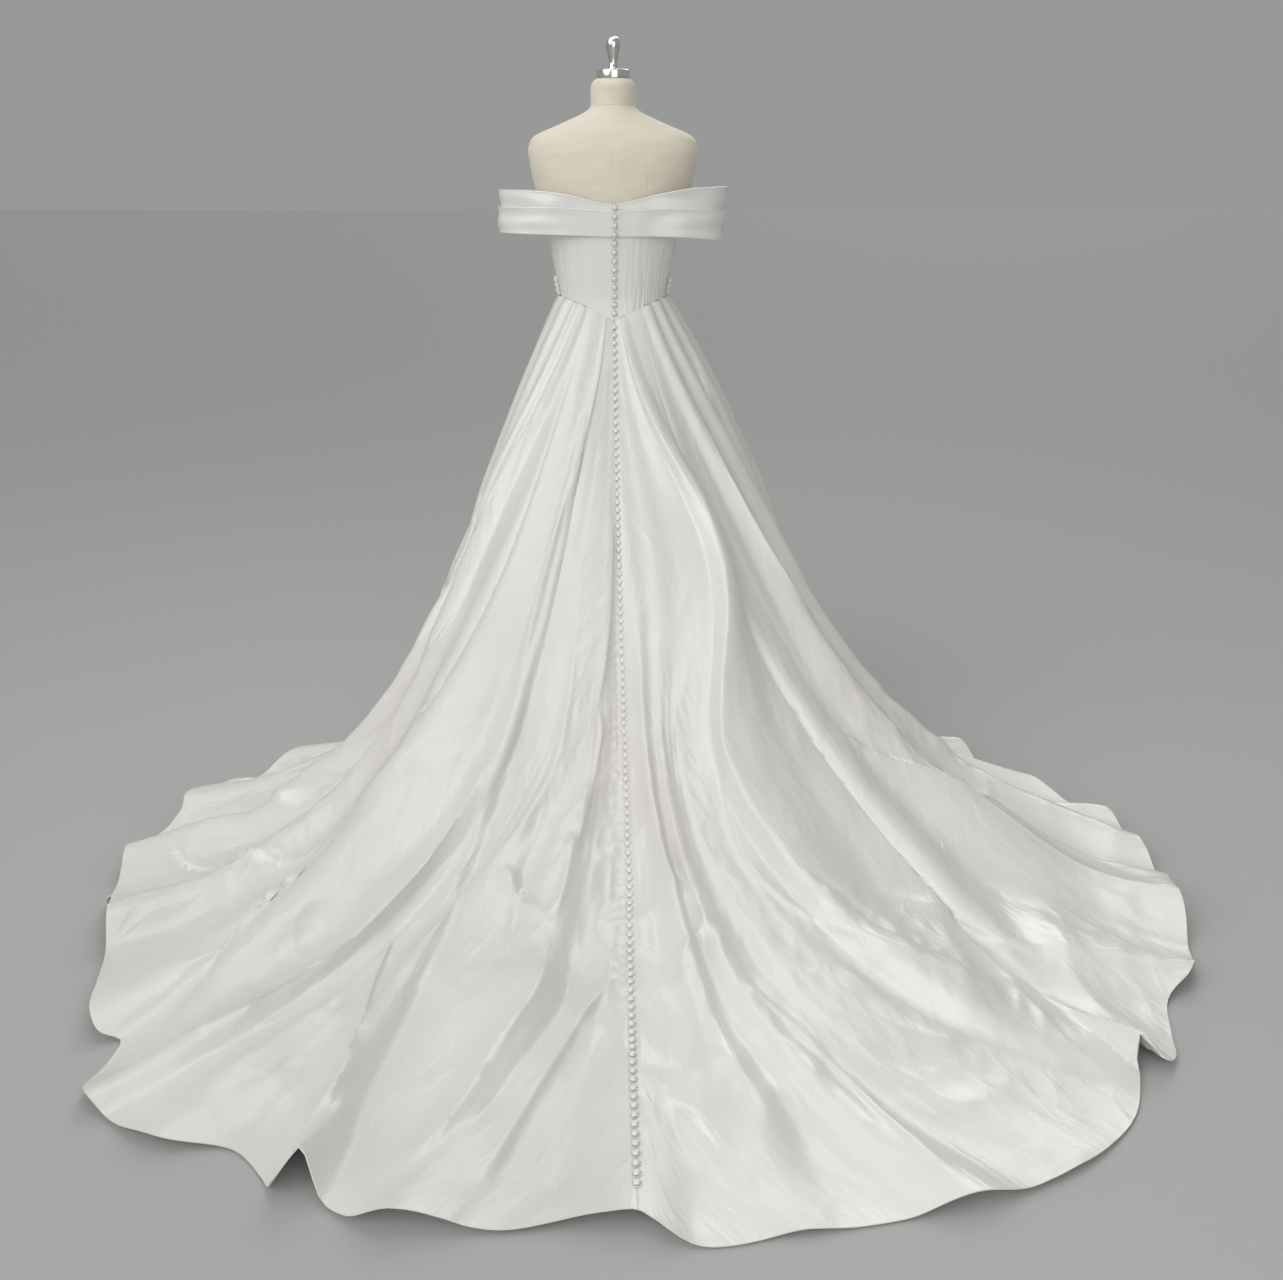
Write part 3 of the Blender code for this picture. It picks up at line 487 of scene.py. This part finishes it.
# Creases that lie over the folds, one row a line: height in mm (a trough where negative), how far it spreads towards
# lower and towards higher angles in mm, how far its crest leans towards higher angles in mm, then the line itself
# as pairs of angle and share of the way from waist to hem
CREASES = (
    (11, 12, 50, -10, (16.4, .46), (17.8, .564), (20.5, .71), (24.2, .83), (28.2, .98)),
    (5, 30, 40, 0, (8.9, .04), (17, .122), (17.6, .276), (16.4, .42)),
    (-6, 30, 12, 0, (15.6, .56), (18.0, .72), (21.4, .83), (26.0, .95)),
    (9, 9, 30, -4, (36.8, 0), (46.2, .11), (53, .202), (57.2, .274), (58, .40)),
    (7, 9, 26, -4, (47, .044), (55, .14), (61, .258), (63, .38)),
    (12, 14, 30, -4, (37.2, .386), (29, .53), (31.2, .644), (32.5, .702), (30.8, .796), (31.2, .882), (35.2, .954)),
    (13, 12, 40, -5, (45.0, .584), (45.6, .652), (49, .74), (56, .832), (60, 1)),
    (12, 12, 34, -4, (32.8, .628), (36, .744), (44, .85), (52.8, .952)),
    (10, 12, 16, 0, (11, .632), (9.2, .668), (5.2, .714)),
    (9, 10, 14, 0, (4.5, .60), (4.6, .66), (5.2, .714)),
    (16, 18, 46, -4, (5.2, .74), (5.5, .786), (7, .84), (8.8, .914), (10.5, .975)),
    (-12, 24, 24, 0, (4, .718), (3.5, .784), (6, .862), (8, .936)),
    (14, 10, 36, -6, (19.2, .74), (18.2, .808), (16.2, .868), (15.8, .894), (16.8, .99)),
    (-13, 34, 34, 0, (15.5, .76), (13, .872), (12.5, .96)),
    (-15, 30, 26, 0, (1, .82), (2.5, .918), (2.5, .99)),
    (13, 14, 34, -4, (-0.2, .762), (2.4, .82), (5, .90), (6.6, .985)),
    (-12, 16, 18, 0, (9.2, .62), (8.6, .70), (8.2, .77)),
    (6, 10, 30, -3, (0.4, .20), (1.2, .356), (3.0, .462)),
    (6, 12, 26, -3, (1.4, .45), (2.8, .536), (4.4, .64)),
    (-9, 30, 34, 0, (-16.8, .72), (-21.2, .826), (-24.2, .886), (-26, .97)),
    (9, 30, 12, 4, (-25.5, .69), (-32, .804), (-37, .914), (-42, 1)),
    (9, 50, 14, 6, (-9.5, .01), (-22.8, .084), (-29, .176), (-27.5, .298), (-19.8, .416), (-15, .534), (-15, .67),
     (-21, .762), (-27.8, .862), (-31.2, .924)),
    (-8, 24, 20, 0, (-17, .638), (-20.2, .698), (-23.2, .758), (-28.5, .832), (-31, .88)),
    (8, 30, 9, 4, (-43.8, .006), (-50, .11), (-48.8, .216), (-48.8, .386), (-50.2, .46)),
    (7, 26, 9, 4, (-73, .046), (-66.5, .176), (-63, .322), (-64.5, .42)),
    (16, 13, 60, -7, (-35, .50), (-39.5, .57), (-43, .634), (-46.4, .70), (-49.4, .778), (-52.4, .86), (-53.5, 1)),
    (12, 34, 12, 3, (-9, .76), (-12.2, .822), (-14, .878), (-16, .99)),
    (12, 20, 12, 3, (-4.2, .59), (-6.2, .672), (-7.8, .712), (-5.8, .738), (-5.8, .802), (-6, .88)),
    (9, 20, 14, 0, (-3.5, .88), (-5.8, .946), (-7, .975)),
    (7, 12, 34, -4, (82, .10), (86, .30), (84, .60)),
    (8, 14, 36, -4, (97, .35), (99, .60), (98, .95)),
    (7, 30, 12, 4, (112, .12), (115, .35), (114, .70)),
    (8, 12, 32, -5, (129, .30), (130, .60), (132, 1)),
    (7, 30, 11, 4, (145, .08), (144, .40), (146, .75)),
    (8, 12, 30, -4, (159, .35), (160, .70), (159, 1)),
    (7, 11, 28, -4, (176, .10), (175, .40), (177, .80)),
    (8, 30, 12, 4, (192, .30), (191, .65), (190, 1)),
    (7, 12, 30, -4, (208, .10), (209, .40), (207, .75)),
    (8, 32, 12, 5, (223, .35), (222, .65), (221, 1)),
    (7, 12, 32, -4, (238, .12), (239, .40), (240, .70)),
    (8, 34, 13, 5, (253, .30), (255, .60), (257, 1)),
    (8, 34, 12, 5, (268, .14), (271, .45), (275, .85)),
    (7, 12, 34, -4, (280, .35), (284, .60), (290, .9)),
)


def drape_point(angle, v):
    """Lowest line of the skirt: v runs from 0 at the waist seam to 1 at the hem."""
    rad = np.radians(angle)
    waist = torso_radius(angle, waist_height(angle)) + BODICE_EASE + 0.0003
    reach = around(HEM, 1, angle)
    flare, fall, sweep, rise = (around(DRAPE, i, angle) for i in range(1, 5))
    b0, b1, b2, b3 = (1 - v) ** 3, 3 * v * (1 - v) ** 2, 3 * v * v * (1 - v), v ** 3
    r = b0 * waist + b1 * (waist + flare) + b2 * (reach - sweep) + b3 * reach
    z = b0 * waist_height(angle) + b1 * (waist_height(angle) - fall) + b2 * rise
    return np.stack([r * np.sin(rad), r * np.cos(rad), z], -1)


def drape_frame(angle, v):
    """Point, outward direction, sideways direction and metres a degree of the drape."""
    along = drape_point(angle, np.minimum(v + 0.004, 1)) - drape_point(angle, np.maximum(v - 0.004, 0))
    across = (drape_point(angle + 0.4, v) - drape_point(angle - 0.4, v)) / 0.8
    degree = np.linalg.norm(across, axis=-1)
    normal = np.cross(across, along)
    normal /= np.linalg.norm(normal, axis=-1, keepdims=True)
    level = np.stack([np.sin(np.radians(angle)), np.cos(np.radians(angle)), np.zeros_like(angle)], -1)
    mix = np.clip(v / 0.05, 0, 1)[..., None]
    normal = level * (1 - mix) + normal * mix
    normal /= np.linalg.norm(normal, axis=-1, keepdims=True)
    return drape_point(angle, v), normal, across / degree[..., None], degree


def fold_grid(first, last, v, columns):
    """Angles and heights over the folds from ridge row first to last, with the given number of columns a fold."""
    angles, heights = [], []
    for k in range(first, last):
        rows = [FOLDS[(k + i) % len(FOLDS)] for i in (0, 1)]
        turns = [360 * ((k + i) // len(FOLDS)) for i in (0, 1)]
        a, b = (through(STATIONS, row[0:5], v) + t for row, t in zip(rows, turns))
        high, next_high = (np.maximum(through(STATIONS, row[5:10], v), 0) / 1000 for row in rows)
        valley = rows[0][10]
        count = columns[k - first]
        for share in np.arange(count + (k == last - 1)) / count:
            angles.append(a + (b - a) * share)
            if share < valley:
                heights.append(high * (0.5 + 0.5 * math.cos(math.pi * share / valley)) ** rows[0][11])
            else:
                heights.append(next_high * (0.5 + 0.5 * math.cos(math.pi * (1 - share) / (1 - valley))) ** rows[1][11])
    return np.array(angles), np.array(heights)


def ease(x):
    x = np.clip(x, 0, 1)
    return x * x * (3 - 2 * x)


def creased(angle, v, degree):
    """How far the creases lift the cloth and push it sideways, at grids of angles and of shares down."""
    lift, push = np.zeros_like(angle), np.zeros_like(angle)
    for height, low, high, lean, *line in CREASES:
        at, down = np.array(line).T
        span = down[-1] - down[0]
        fade = ease((v - down[0]) / (0.22 * span)) if down[0] > 0.02 else ease(v / 0.25)
        if down[-1] < 0.995:
            fade = fade * ease((down[-1] - v) / (0.22 * span))
        away = ((angle - through(down, at, v) + 180) % 360 - 180) * degree
        x = away / np.where(away < 0, low, high) * 1000
        bump = np.exp(-1.5 * (np.sqrt(x * x + 0.03) - 0.17)) * fade * (np.abs(x) < 6)
        lift += height / 1000 * bump
        push += lean / 1000 * bump
    return lift, push


HEM_TURN = np.arange(-180, 181)
HEM_RUN = np.cumsum(around(HEM, 1, HEM_TURN)) * math.pi / 180      # metres along the hem, from the front round
# Places where the hem stands up off the floor: height in mm, angle, half width in mm, depth from the hem in metres
CURLS = (
    (24, 14.8, 30, 0.22), (46, -31.4, 21, 0.20), (8, -40.5, 60, 0.25), (16, -52.5, 40, 0.20), (44, -63.2, 55, 0.30),
    (14, -78, 40, 0.30), (16, 67.8, 40, 0.2), (12, 76, 60, 0.25), (14, 46.5, 30, 0.12),
)


def facets(across, along, seed):
    """Flat facets about 1 wide and high with crisp creases between them, as stiff satin takes."""
    return 0.55 - np.sqrt(ripples(across, along, seed) ** 2 + 0.02)


def skirt_point(angle, v, height):
    """The satin's outer face: the folds, the creases over them and the small unevenness of heavy cloth."""
    point, normal, side, degree = drape_frame(angle, v)
    round_metre = np.hypot(point[..., 0], point[..., 1]) * math.pi / 180
    lift, push = creased(angle, v, round_metre)
    signed = (angle + 180) % 360 - 180
    across, along = signed * 0.019, v * 2.3
    at_hem = (signed[:, -1:] + 180) % 360 - 180
    run = np.interp(at_hem, HEM_TURN, HEM_RUN)
    low = ease((v - 0.30) / 0.35)
    flutes = ripples(run / 0.55, along / 2.5, 21) * 0.0050 * ease(v / 0.3)
    flutes += ripples(run / 0.30, along / 1.6, 26) * 0.0020 * ease(v / 0.4)
    flutes += ripples(across / 0.30, along / 0.55, 28) * 0.0080 * ease((v - 0.5) / 0.3)
    handled = 0.30 + 0.70 * ease(0.5 + 0.6 * ripples(across / 0.7, along / 0.6, 25))
    rumple = facets(across / 0.15, along / 0.34, 22) * 0.0058 * handled * low
    rumple += facets(run / 0.12, along / 0.50, 27) * 0.0016 * handled * ease((v - 0.35) / 0.3)
    rumple += facets(across / 0.055, along / 0.11, 23) * 0.0016 * handled * low
    rumple *= np.clip(around(HEM, 1, angle) / 1.1, 0.4, 1)      # the short front and sides are handled less
    flutes, rumple = (part * ease((180 - np.abs(signed)) / 5) for part in (flutes, rumple))
    beside = (signed - through(STATIONS, FOLDS[0][:5], v)) * degree
    pucker = 0.0016 * np.sin(along * 2 * math.pi / 0.030 + 2 * ripples(along / 0.1, across / 0.1, 24))
    pucker *= np.exp(-((beside - 0.016) / 0.013) ** 2) * ease((v - 0.30) / 0.1) * ease((0.85 - v) / 0.1)
    high = height + lift + flutes + rumple + pucker
    floor = ease((0.12 - point[..., 2]) / 0.1)
    high = high * (1 - floor) + floor * (high + np.sqrt(high * high + 0.006 ** 2)) / 2
    for tall, line, wide, deep in CURLS:
        away = ((angle - line + 180) % 360 - 180) * degree * 1000 / wide
        high = high + tall / 1000 * np.exp(-away ** 2) * ease((v - 1 + deep / 2.3) / (deep / 2.3)) ** 1.5
    tucked = 0.0014 * np.exp(-(along / 0.006) ** 2)
    turned_in = tucked + 0.0012 * (np.exp(-(beside / 0.0025) ** 2) * (np.abs(beside) < 0.02))
    raised = point + normal * (high + SKIRT_CLOTH - turned_in)[..., None] + side * push[..., None]
    raised[..., 2] = np.maximum(raised[..., 2], SKIRT_CLOTH)
    return raised


def skirt_grid(first, last, columns, rows):
    """Outer grid of a gore, with its edge columns standing back from the seam and two more close beside them."""
    v = np.concatenate([np.linspace(0, 1 - 0.012, rows - 5), 1 - np.array([0.0085, 0.0055, 0.003, 0.0012, 0])])
    angle, height = fold_grid(first, last, v, columns)
    v = np.broadcast_to(v, angle.shape)
    degree = drape_frame(angle[[0, -1]], v[[0, -1]])[3]
    for i, offset in enumerate((SEAM_HALF_GAP, 0.003, 0.007)):
        low, high = angle[0] * 1.0 if i == 0 else edge_low, angle[-1] * 1.0 if i == 0 else edge_high
        if i == 0:
            edge_low, edge_high = low, high
            angle[0], angle[-1] = low + offset / degree[0], high - offset / degree[1]
        else:
            angle[i] = np.minimum(angle[i], edge_low + offset / degree[0])
            angle[-1 - i] = np.maximum(angle[-1 - i], edge_high - offset / degree[1])
    return skirt_point(angle, v, height)


skirt_satin = satin_finish("ivory_satin_skirt", 0.4, 0.36, ("#DDD9D4", "#E6E7E2"))

for name, first, last, waist, hem, length in GORES:
    spans = np.array([FOLDS[(k + 1) % len(FOLDS)][4] + 360 * ((k + 1) // len(FOLDS))
                      - FOLDS[k % len(FOLDS)][4] - 360 * (k // len(FOLDS)) for k in range(first, last)])
    reach = around(HEM, 1, (FOLDS[first][4] + spans.cumsum()) % 360)
    share = spans * (reach + 0.6)
    wanted = 208 if length > 2 else 160
    columns = np.maximum(2 * np.round(share / share.sum() * wanted / 2).astype(int), 8)
    rows = 321 if length > 2 else 231
    outer = skirt_grid(first, last, columns, rows)
    inner = (outer - surface_normal(outer) * 0.0018)[::2, ::2]
    inner[..., 2] = np.maximum(inner[..., 2], 0.0004)
    gore = cloth(name + "_satin", outer, inner, skirt_satin)
    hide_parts(name)

# Beaded waist.
# A ribbon sewn over the front waist seam, closely set by hand with glass pearls of 3 to 6 mm in staggered rows.

TRIM_FROM, TRIM_TO, TRIM_EASE = 76, 284, 0.0010
# Rows of pearls: height over the seam, pearl diameter and pitch, in mm
PEARL_ROWS = ((5.0, 4.2, 4.9), (10.6, 5.6, 6.6), (16.6, 4.2, 5.4), (22.0, 6.0, 7.2), (27.6, 4.2, 5.4), (33.4, 5.6, 6.6),
              (39.0, 4.2, 4.9))

ribbon_angle = np.linspace(TRIM_FROM, TRIM_TO, 229)[:, None]
ribbon_z = waist_height(ribbon_angle) + np.linspace(0.042, 0.002, 9)[None, :]
seat = bodice_radius(ribbon_angle, ribbon_z) + TRIM_EASE
# The ribbon takes the bodice's lighter satin, with the same painted light in its tones.
ribbon = cloth("waist_ribbon", polar(ribbon_angle, seat + 0.0010, ribbon_z), polar(ribbon_angle, seat, ribbon_z), bodice_satin_painted_lighter)
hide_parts("waist_trim")

# Glass pearl: a smooth, slightly warm lustre under a clear lacquer.
pearl, tree, shader = finish_for("glass_pearl", Roughness=0.22, Specular_IOR_Level=0.6, Coat_Weight=0.7,
                                 Coat_Roughness=0.08, Sheen_Weight=0.1)
cloud = add(tree, "TexNoise", {"Vector": in_metres(tree), "Scale": 260.0, "Detail": 1.0})
lustre = add(tree, "ValToRGB", {"Fac": cloud.outputs["Fac"]})
lustre.color_ramp.elements[0].color, lustre.color_ramp.elements[1].color = linear("#ECE8E1"), linear("#FAF8F5")
tree.links.new(lustre.outputs["Color"], shader.inputs["Base Color"])


def ball(columns=10, rows=6):
    """Points and faces of a unit ball with rounded ends, as arrays."""
    up = np.linspace(-1, 1, rows + 1) * math.pi / 2
    turn = np.arange(columns) * 2 * math.pi / columns
    grid = np.array([[(math.cos(u) * math.cos(t), math.cos(u) * math.sin(t), math.sin(u)) for t in turn] for u in up[1:-1]])
    count = len(grid)
    points = np.concatenate([grid.reshape(-1, 3), [[0, 0, -1], [0, 0, 1]]])
    i = np.arange(columns)
    low = np.stack([np.full(columns, count * columns), (i + 1) % columns, i], 1)
    high = np.stack([np.full(columns, count * columns + 1), (count - 1) * columns + i, (count - 1) * columns + (i + 1) % columns], 1)
    return points, rings(grid)[0][:, ::-1], np.concatenate([low, high])


def many(points, faces, frames):
    """Copies of one small mesh joined: each frame is a 3 by 4 matrix, its columns the three directions and the place."""
    frames = np.asarray(frames)
    moved = np.einsum("nij,pj->npi", frames[:, :, :3], points) + frames[:, None, :, 3]
    shift = (np.arange(len(frames)) * len(points))[:, None, None]
    return moved.reshape(-1, 3), [(f[None] + shift).reshape(-1, f.shape[1]) for f in faces]


frames = []
for row, (height, across, pitch) in enumerate(PEARL_ROWS):
    count = int(math.radians(TRIM_TO - TRIM_FROM) * 0.122 / (pitch / 1000))
    for i in range(count):
        angle = TRIM_FROM + 0.6 + (TRIM_TO - TRIM_FROM - 1.2) * (i + 0.5 * (row % 2)) / count
        z = float(waist_height(angle)) + height / 1000
        size = across / 2000 * (1 + 0.07 * math.sin(i * 2.4 + row))
        centre = polar(angle, float(bodice_radius(angle, z)) + TRIM_EASE + 0.0008 + size, z)
        frames.append(np.column_stack([np.eye(3) * size, centre]))
points, sides, ends = ball()
beads = place("waist_pearls", *many(points, [sides, ends], frames), pearl)

# Shoulder band.
# Two tiers of satin folded lengthwise round a soft interlining, so that each top edge is a round roll. They lie on
# the bodice at the back and front and stand off it at the arms. Left and right part at the centre back.

BAND_CLOTH, BAND_EASE, BAND_REFERENCE_Z, BAND_OVERLAP = 0.0022, 0.0010, 1.270, 0.010
# angle, how far it stands off the bodice, top edge, folded top of the lower tier, bottom edge
BAND = (
    (0, 0.0000, 1.296, 1.281, 1.226), (22, 0.0002, 1.302, 1.284, 1.227), (45, 0.0120, 1.316, 1.288, 1.229),
    (62, 0.0430, 1.323, 1.289, 1.231), (76, 0.0770, 1.325, 1.289, 1.232), (86, 0.0915, 1.325, 1.289, 1.232),
    (93, 0.0925, 1.325, 1.289, 1.232), (102, 0.0790, 1.325, 1.289, 1.232), (120, 0.0410, 1.326, 1.290, 1.233),
    (140, 0.0110, 1.328, 1.292, 1.234), (160, 0.0004, 1.330, 1.293, 1.235), (180, 0.0000, 1.322, 1.288, 1.233),
    (200, 0.0004, 1.330, 1.293, 1.235), (220, 0.0110, 1.330, 1.290, 1.230), (240, 0.0410, 1.331, 1.285, 1.222),
    (258, 0.0790, 1.332, 1.279, 1.214), (267, 0.0925, 1.332, 1.277, 1.212), (274, 0.0915, 1.332, 1.278, 1.213),
    (284, 0.0770, 1.331, 1.281, 1.217), (298, 0.0430, 1.328, 1.285, 1.223), (315, 0.0120, 1.317, 1.286, 1.226),
    (338, 0.0002, 1.303, 1.283, 1.226),
)
ROLL = 0.0017                       # radius of the rolled top edge
band_satin = satin_finish("ivory_satin_band", 0.25, 0.08, ("#E3E1DE", "#E9E8E5"))


def band_radius(angle, z):
    """Distance from the pole to the band's inner face."""
    stand_off = around(BAND, 1, angle)
    upright = np.clip(stand_off / 0.03, 0, 1)
    return (bodice_radius(angle, z) * (1 - upright) + bodice_radius(angle, BAND_REFERENCE_Z) * upright) + BAND_EASE + stand_off


def band_rows(top, bottom):
    """Height and half thickness of each row of a folded tier, from the roll at its top to its lower fold."""
    rows = []
    for turn in np.radians([4, 20, 40, 62, 90, 118]):
        rows.append((top - ROLL * (1 - math.cos(turn)), ROLL * math.sin(turn)))
    flat = BAND_CLOTH / 2
    for share in np.linspace(0.09, 0.965, 26):
        thick = flat + (ROLL * 0.8 - flat) * np.exp(-(share / 0.14) ** 2)
        rows.append((top + (bottom - top) * share, thick))
    for turn in np.radians([60, 30, 5]):
        rows.append((bottom + flat * (1 - math.cos(turn)), flat * math.sin(turn)))
    return [np.broadcast_to(r[0], top.shape) for r in rows], [np.broadcast_to(r[1], top.shape) for r in rows]


for side_name, start, end in (("left", -1.8, 180), ("right", 180, 358.2)):
    edge = math.degrees(SEAM_HALF_GAP / 0.12)
    angle = np.concatenate([[start + edge, start + 0.6, start + 1.2], np.linspace(start + 2, end - 2, 160), [end - 1.2, end - 0.6, end - edge]])
    layer = BAND_CLOTH + BAND_EASE
    for tier, top, bottom, lift in (
        ("upper", around(BAND, 2, angle), around(BAND, 3, angle) - BAND_OVERLAP, 0.0),
        ("lower", around(BAND, 3, angle), around(BAND, 4, angle), layer),
    ):
        z, half = (np.array(part).T for part in band_rows(top, bottom))
        off = around(BAND, 1, angle)[:, None]
        loose = 0.25 + 0.75 * np.clip(off / 0.02, 0, 1)
        wave = ripples(angle[:, None] / 30, z / 0.034, 31 if tier == "upper" else 32) * 0.0018 * loose
        wave = np.where(off < 0.004, np.maximum(wave, 0), wave)
        if tier == "lower":         # its right end leans in under the arm opening
            drop = (top[:, None] - z) / (top - bottom)[:, None]
            wave = wave - 0.014 * ease(drop) * np.exp(-((angle[:, None] - 266) / 15) ** 2)
        base = band_radius(angle[:, None], z) + lift + wave
        outer, inner = polar(angle[:, None], base + 2 * half, z), polar(angle[:, None], base, z)
        loop = cloth(f"band_{tier}_{side_name}_satin", outer, inner, band_satin)
        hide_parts(f"band_{tier}_{side_name}")

# Covered buttons.
# Small domed buttons covered in the satin run down the centre back seam, from the band to the hem, each in a loop
# of satin cord that is sewn into the left edge.

BUTTON_RADIUS, BUTTON_DEPTH, BUTTON_PITCH, BUTTON_TOP_Z = 0.0055, 0.0036, 0.019, 1.288
button_satin = satin_finish("ivory_satin_button", 0.2, 0.1, ("#E2DFDB", "#E8E7E4"), laid_flat=False)
# radius and depth of the cover's rows, as shares, from the foot to the crown
COVER = ((0.45, -0.9), (0.80, -0.75), (0.97, -0.35), (1.0, 0.0), (0.95, 0.34), (0.80, 0.64), (0.55, 0.86), (0.28, 0.97))

turn = np.arange(14) * 2 * math.pi / 14
cover = np.array([[(r * math.cos(t) * BUTTON_RADIUS, d * BUTTON_DEPTH, -r * math.sin(t) * BUTTON_RADIUS) for t in turn]
                  for r, d in COVER])
cover_faces = [rings(cover)[0][:, ::-1], rings(cover)[1][:, ::-1], rings(cover)[2][:, ::-1]]
bend = np.radians(np.linspace(-128, 128, 13))
ring_path = np.array([(0.0071 * math.cos(b) * 0.98, -0.0022, 0.0071 * math.sin(b)) for b in bend])
ring_path = np.concatenate([[(-0.0075, -0.0030, -0.0022)], ring_path, [(-0.0075, -0.0030, 0.0022)]])
loop_rings = []
for k, spot in enumerate(ring_path):
    ahead, behind = ring_path[min(k + 1, len(ring_path) - 1)], ring_path[max(k - 1, 0)]
    along = (ahead - behind) / np.linalg.norm(ahead - behind)
    beside = np.cross(along, (0, 1.0, 0))
    beside /= np.linalg.norm(beside)
    upward = np.cross(beside, along)
    loop_rings.append([spot + 0.00065 * (math.cos(t) * beside + math.sin(t) * upward) for t in np.arange(6) * math.pi / 3])
loop_rings = np.array(loop_rings)
loop_faces = rings(loop_rings)


def button_frame(centre, out, along):
    """A button's directions: sideways, outwards and up the seam, and its centre."""
    side = np.cross(out, along)
    side /= np.linalg.norm(side)
    return np.column_stack([side, out, np.cross(side, out), centre])


back = math.radians(CENTRE_BACK)
frames = []
for k in range(13):
    z = BUTTON_TOP_Z - k * BUTTON_PITCH
    radius = float(bodice_radius(CENTRE_BACK, z))
    if z > 1.226 - BUTTON_RADIUS:
        radius += (BAND_EASE + BAND_CLOTH) * (2 if z < 1.281 + BUTTON_RADIUS else 1)
    centre = polar(CENTRE_BACK, radius + 0.0003 + BUTTON_DEPTH, z)
    frames.append(button_frame(centre, np.array([math.sin(back), math.cos(back), 0]), np.array([0, 0, 1.0])))
bodice_buttons = place("bodice_buttons", *many(cover.reshape(-1, 3), cover_faces, frames), button_satin)
bodice_loops = place("bodice_button_loops", *many(loop_rings.reshape(-1, 3), loop_faces, frames), button_satin)
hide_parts(*[f"button_{k + 1:02d}" for k in range(13)])

v = np.linspace(0, 1, 900)
seam_angle = through(STATIONS, FOLDS[0][:5], v)
seam_height = np.maximum(through(STATIONS, FOLDS[0][5:10], v), 0) / 1000
seam = skirt_point(seam_angle[None], v[None], seam_height[None])[0]
length = np.concatenate([[0], np.linalg.norm(np.diff(seam, axis=0), axis=1).cumsum()])
frames = []
for k in range(int((length[-1] - 0.030) / BUTTON_PITCH)):
    place_on = 0.016 + k * BUTTON_PITCH
    spot, ahead, behind = (np.array([np.interp(place_on + d, length, seam[:, i]) for i in range(3)]) for d in (0, 0.02, -0.02))
    along = (behind - ahead) / np.linalg.norm(behind - ahead)
    side = np.cross((0, 0, 1.0), along)
    side = -side / np.linalg.norm(side)
    out = np.cross(along, side)
    out = out if out[2] > 0 or out[1] > 0.5 else -out
    frames.append(button_frame(spot + out * (BUTTON_DEPTH + 0.0004), out, along))
skirt_buttons = place("skirt_buttons_covered", *many(cover.reshape(-1, 3), cover_faces, frames), button_satin)
skirt_loops = place("skirt_button_loops", *many(loop_rings.reshape(-1, 3), loop_faces, frames), button_satin)
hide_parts("skirt_buttons")

# Studio.
# A plain pale painted floor, a pale surround and large softboxes, and a camera behind the dress at head height,
# a little over three metres from the pole.

paint, tree, shader = finish_for("floor_paint", Roughness=0.8, Base_Color=linear("#B2B3B1"))
grit = add(tree, "TexNoise", {"Vector": in_metres(tree), "Scale": 60.0, "Detail": 3.0})
tree.links.new(add(tree, "Bump", {"Height": grit.outputs["Fac"], "Strength": 0.1, "Distance": 0.001}).outputs["Normal"],
               shader.inputs["Normal"])
mesh = bpy.data.meshes.new("floor")
mesh.from_pydata([(-60, -60, 0), (60, -60, 0), (60, 60, 0), (-60, 60, 0)], [], [(0, 1, 2, 3)])
mesh.materials.append(paint)
floor = bpy.data.objects.new("floor", mesh)
bpy.context.scene.collection.objects.link(floor)

world = bpy.data.worlds.new("surround")
world.use_nodes = True
world.node_tree.nodes["Background"].inputs["Color"].default_value = linear("#BFC1C0")
world.node_tree.nodes["Background"].inputs["Strength"].default_value = 0.60
bpy.context.scene.world = world


def shine_from(light, where, aim):
    """Puts a light in the scene, turned towards what it lights."""
    placed = bpy.data.objects.new(light.name, light)
    placed.location = where
    direction = np.array(aim) - np.array(where)
    level = math.hypot(direction[0], direction[1])
    placed.rotation_euler = (math.atan2(level, -direction[2]), 0, math.atan2(-direction[0], direction[1]))
    bpy.context.scene.collection.objects.link(placed)


# A wide, even light from over the left shoulder of whoever stands at the camera, a weaker one from the far side to
# open the shadows, and softboxes for the gloss: name, place, aim, size in metres, power in watts
bank = bpy.data.lights.new("bank", "SUN")
bank.energy, bank.angle = 1.06, math.radians(60)
shine_from(bank, (3.6, 3.8, 3.4), (0, 0.4, 0.3))
counter = bpy.data.lights.new("counter", "SUN")
counter.energy, counter.angle = 0.54, math.radians(26)
shine_from(counter, (-1.4, -4.6, 4.0), (0, 0.9, 0.2))
SOFTBOXES = (
    ("left_side", (2.6, 3.0, 2.7), (0, 0.7, 0.3), 3.0, 14),
    ("overhead", (0.3, 0.2, 4.0), (0, 0.9, 0), 2.4, 26),
    ("behind_camera", (-0.8, 4.8, 2.0), (0, 0, 1.0), 3.4, 44),
)
for name, where, aim, size, power in SOFTBOXES:
    light = bpy.data.lights.new(name, "AREA")
    light.shape, light.size, light.energy = "SQUARE", size, power
    shine_from(light, where, aim)

lens = bpy.data.cameras.new("camera")
lens.sensor_width, lens.lens, lens.shift_x = 36.0, 37.88, 0.0222
camera = bpy.data.objects.new("camera", lens)
camera.location = (0, 3.22, 1.35)
camera.rotation_euler = (math.radians(71.1), 0, math.radians(180))
bpy.context.scene.collection.objects.link(camera)
bpy.context.scene.camera = camera
bpy.context.scene.view_settings.view_transform = "Standard"
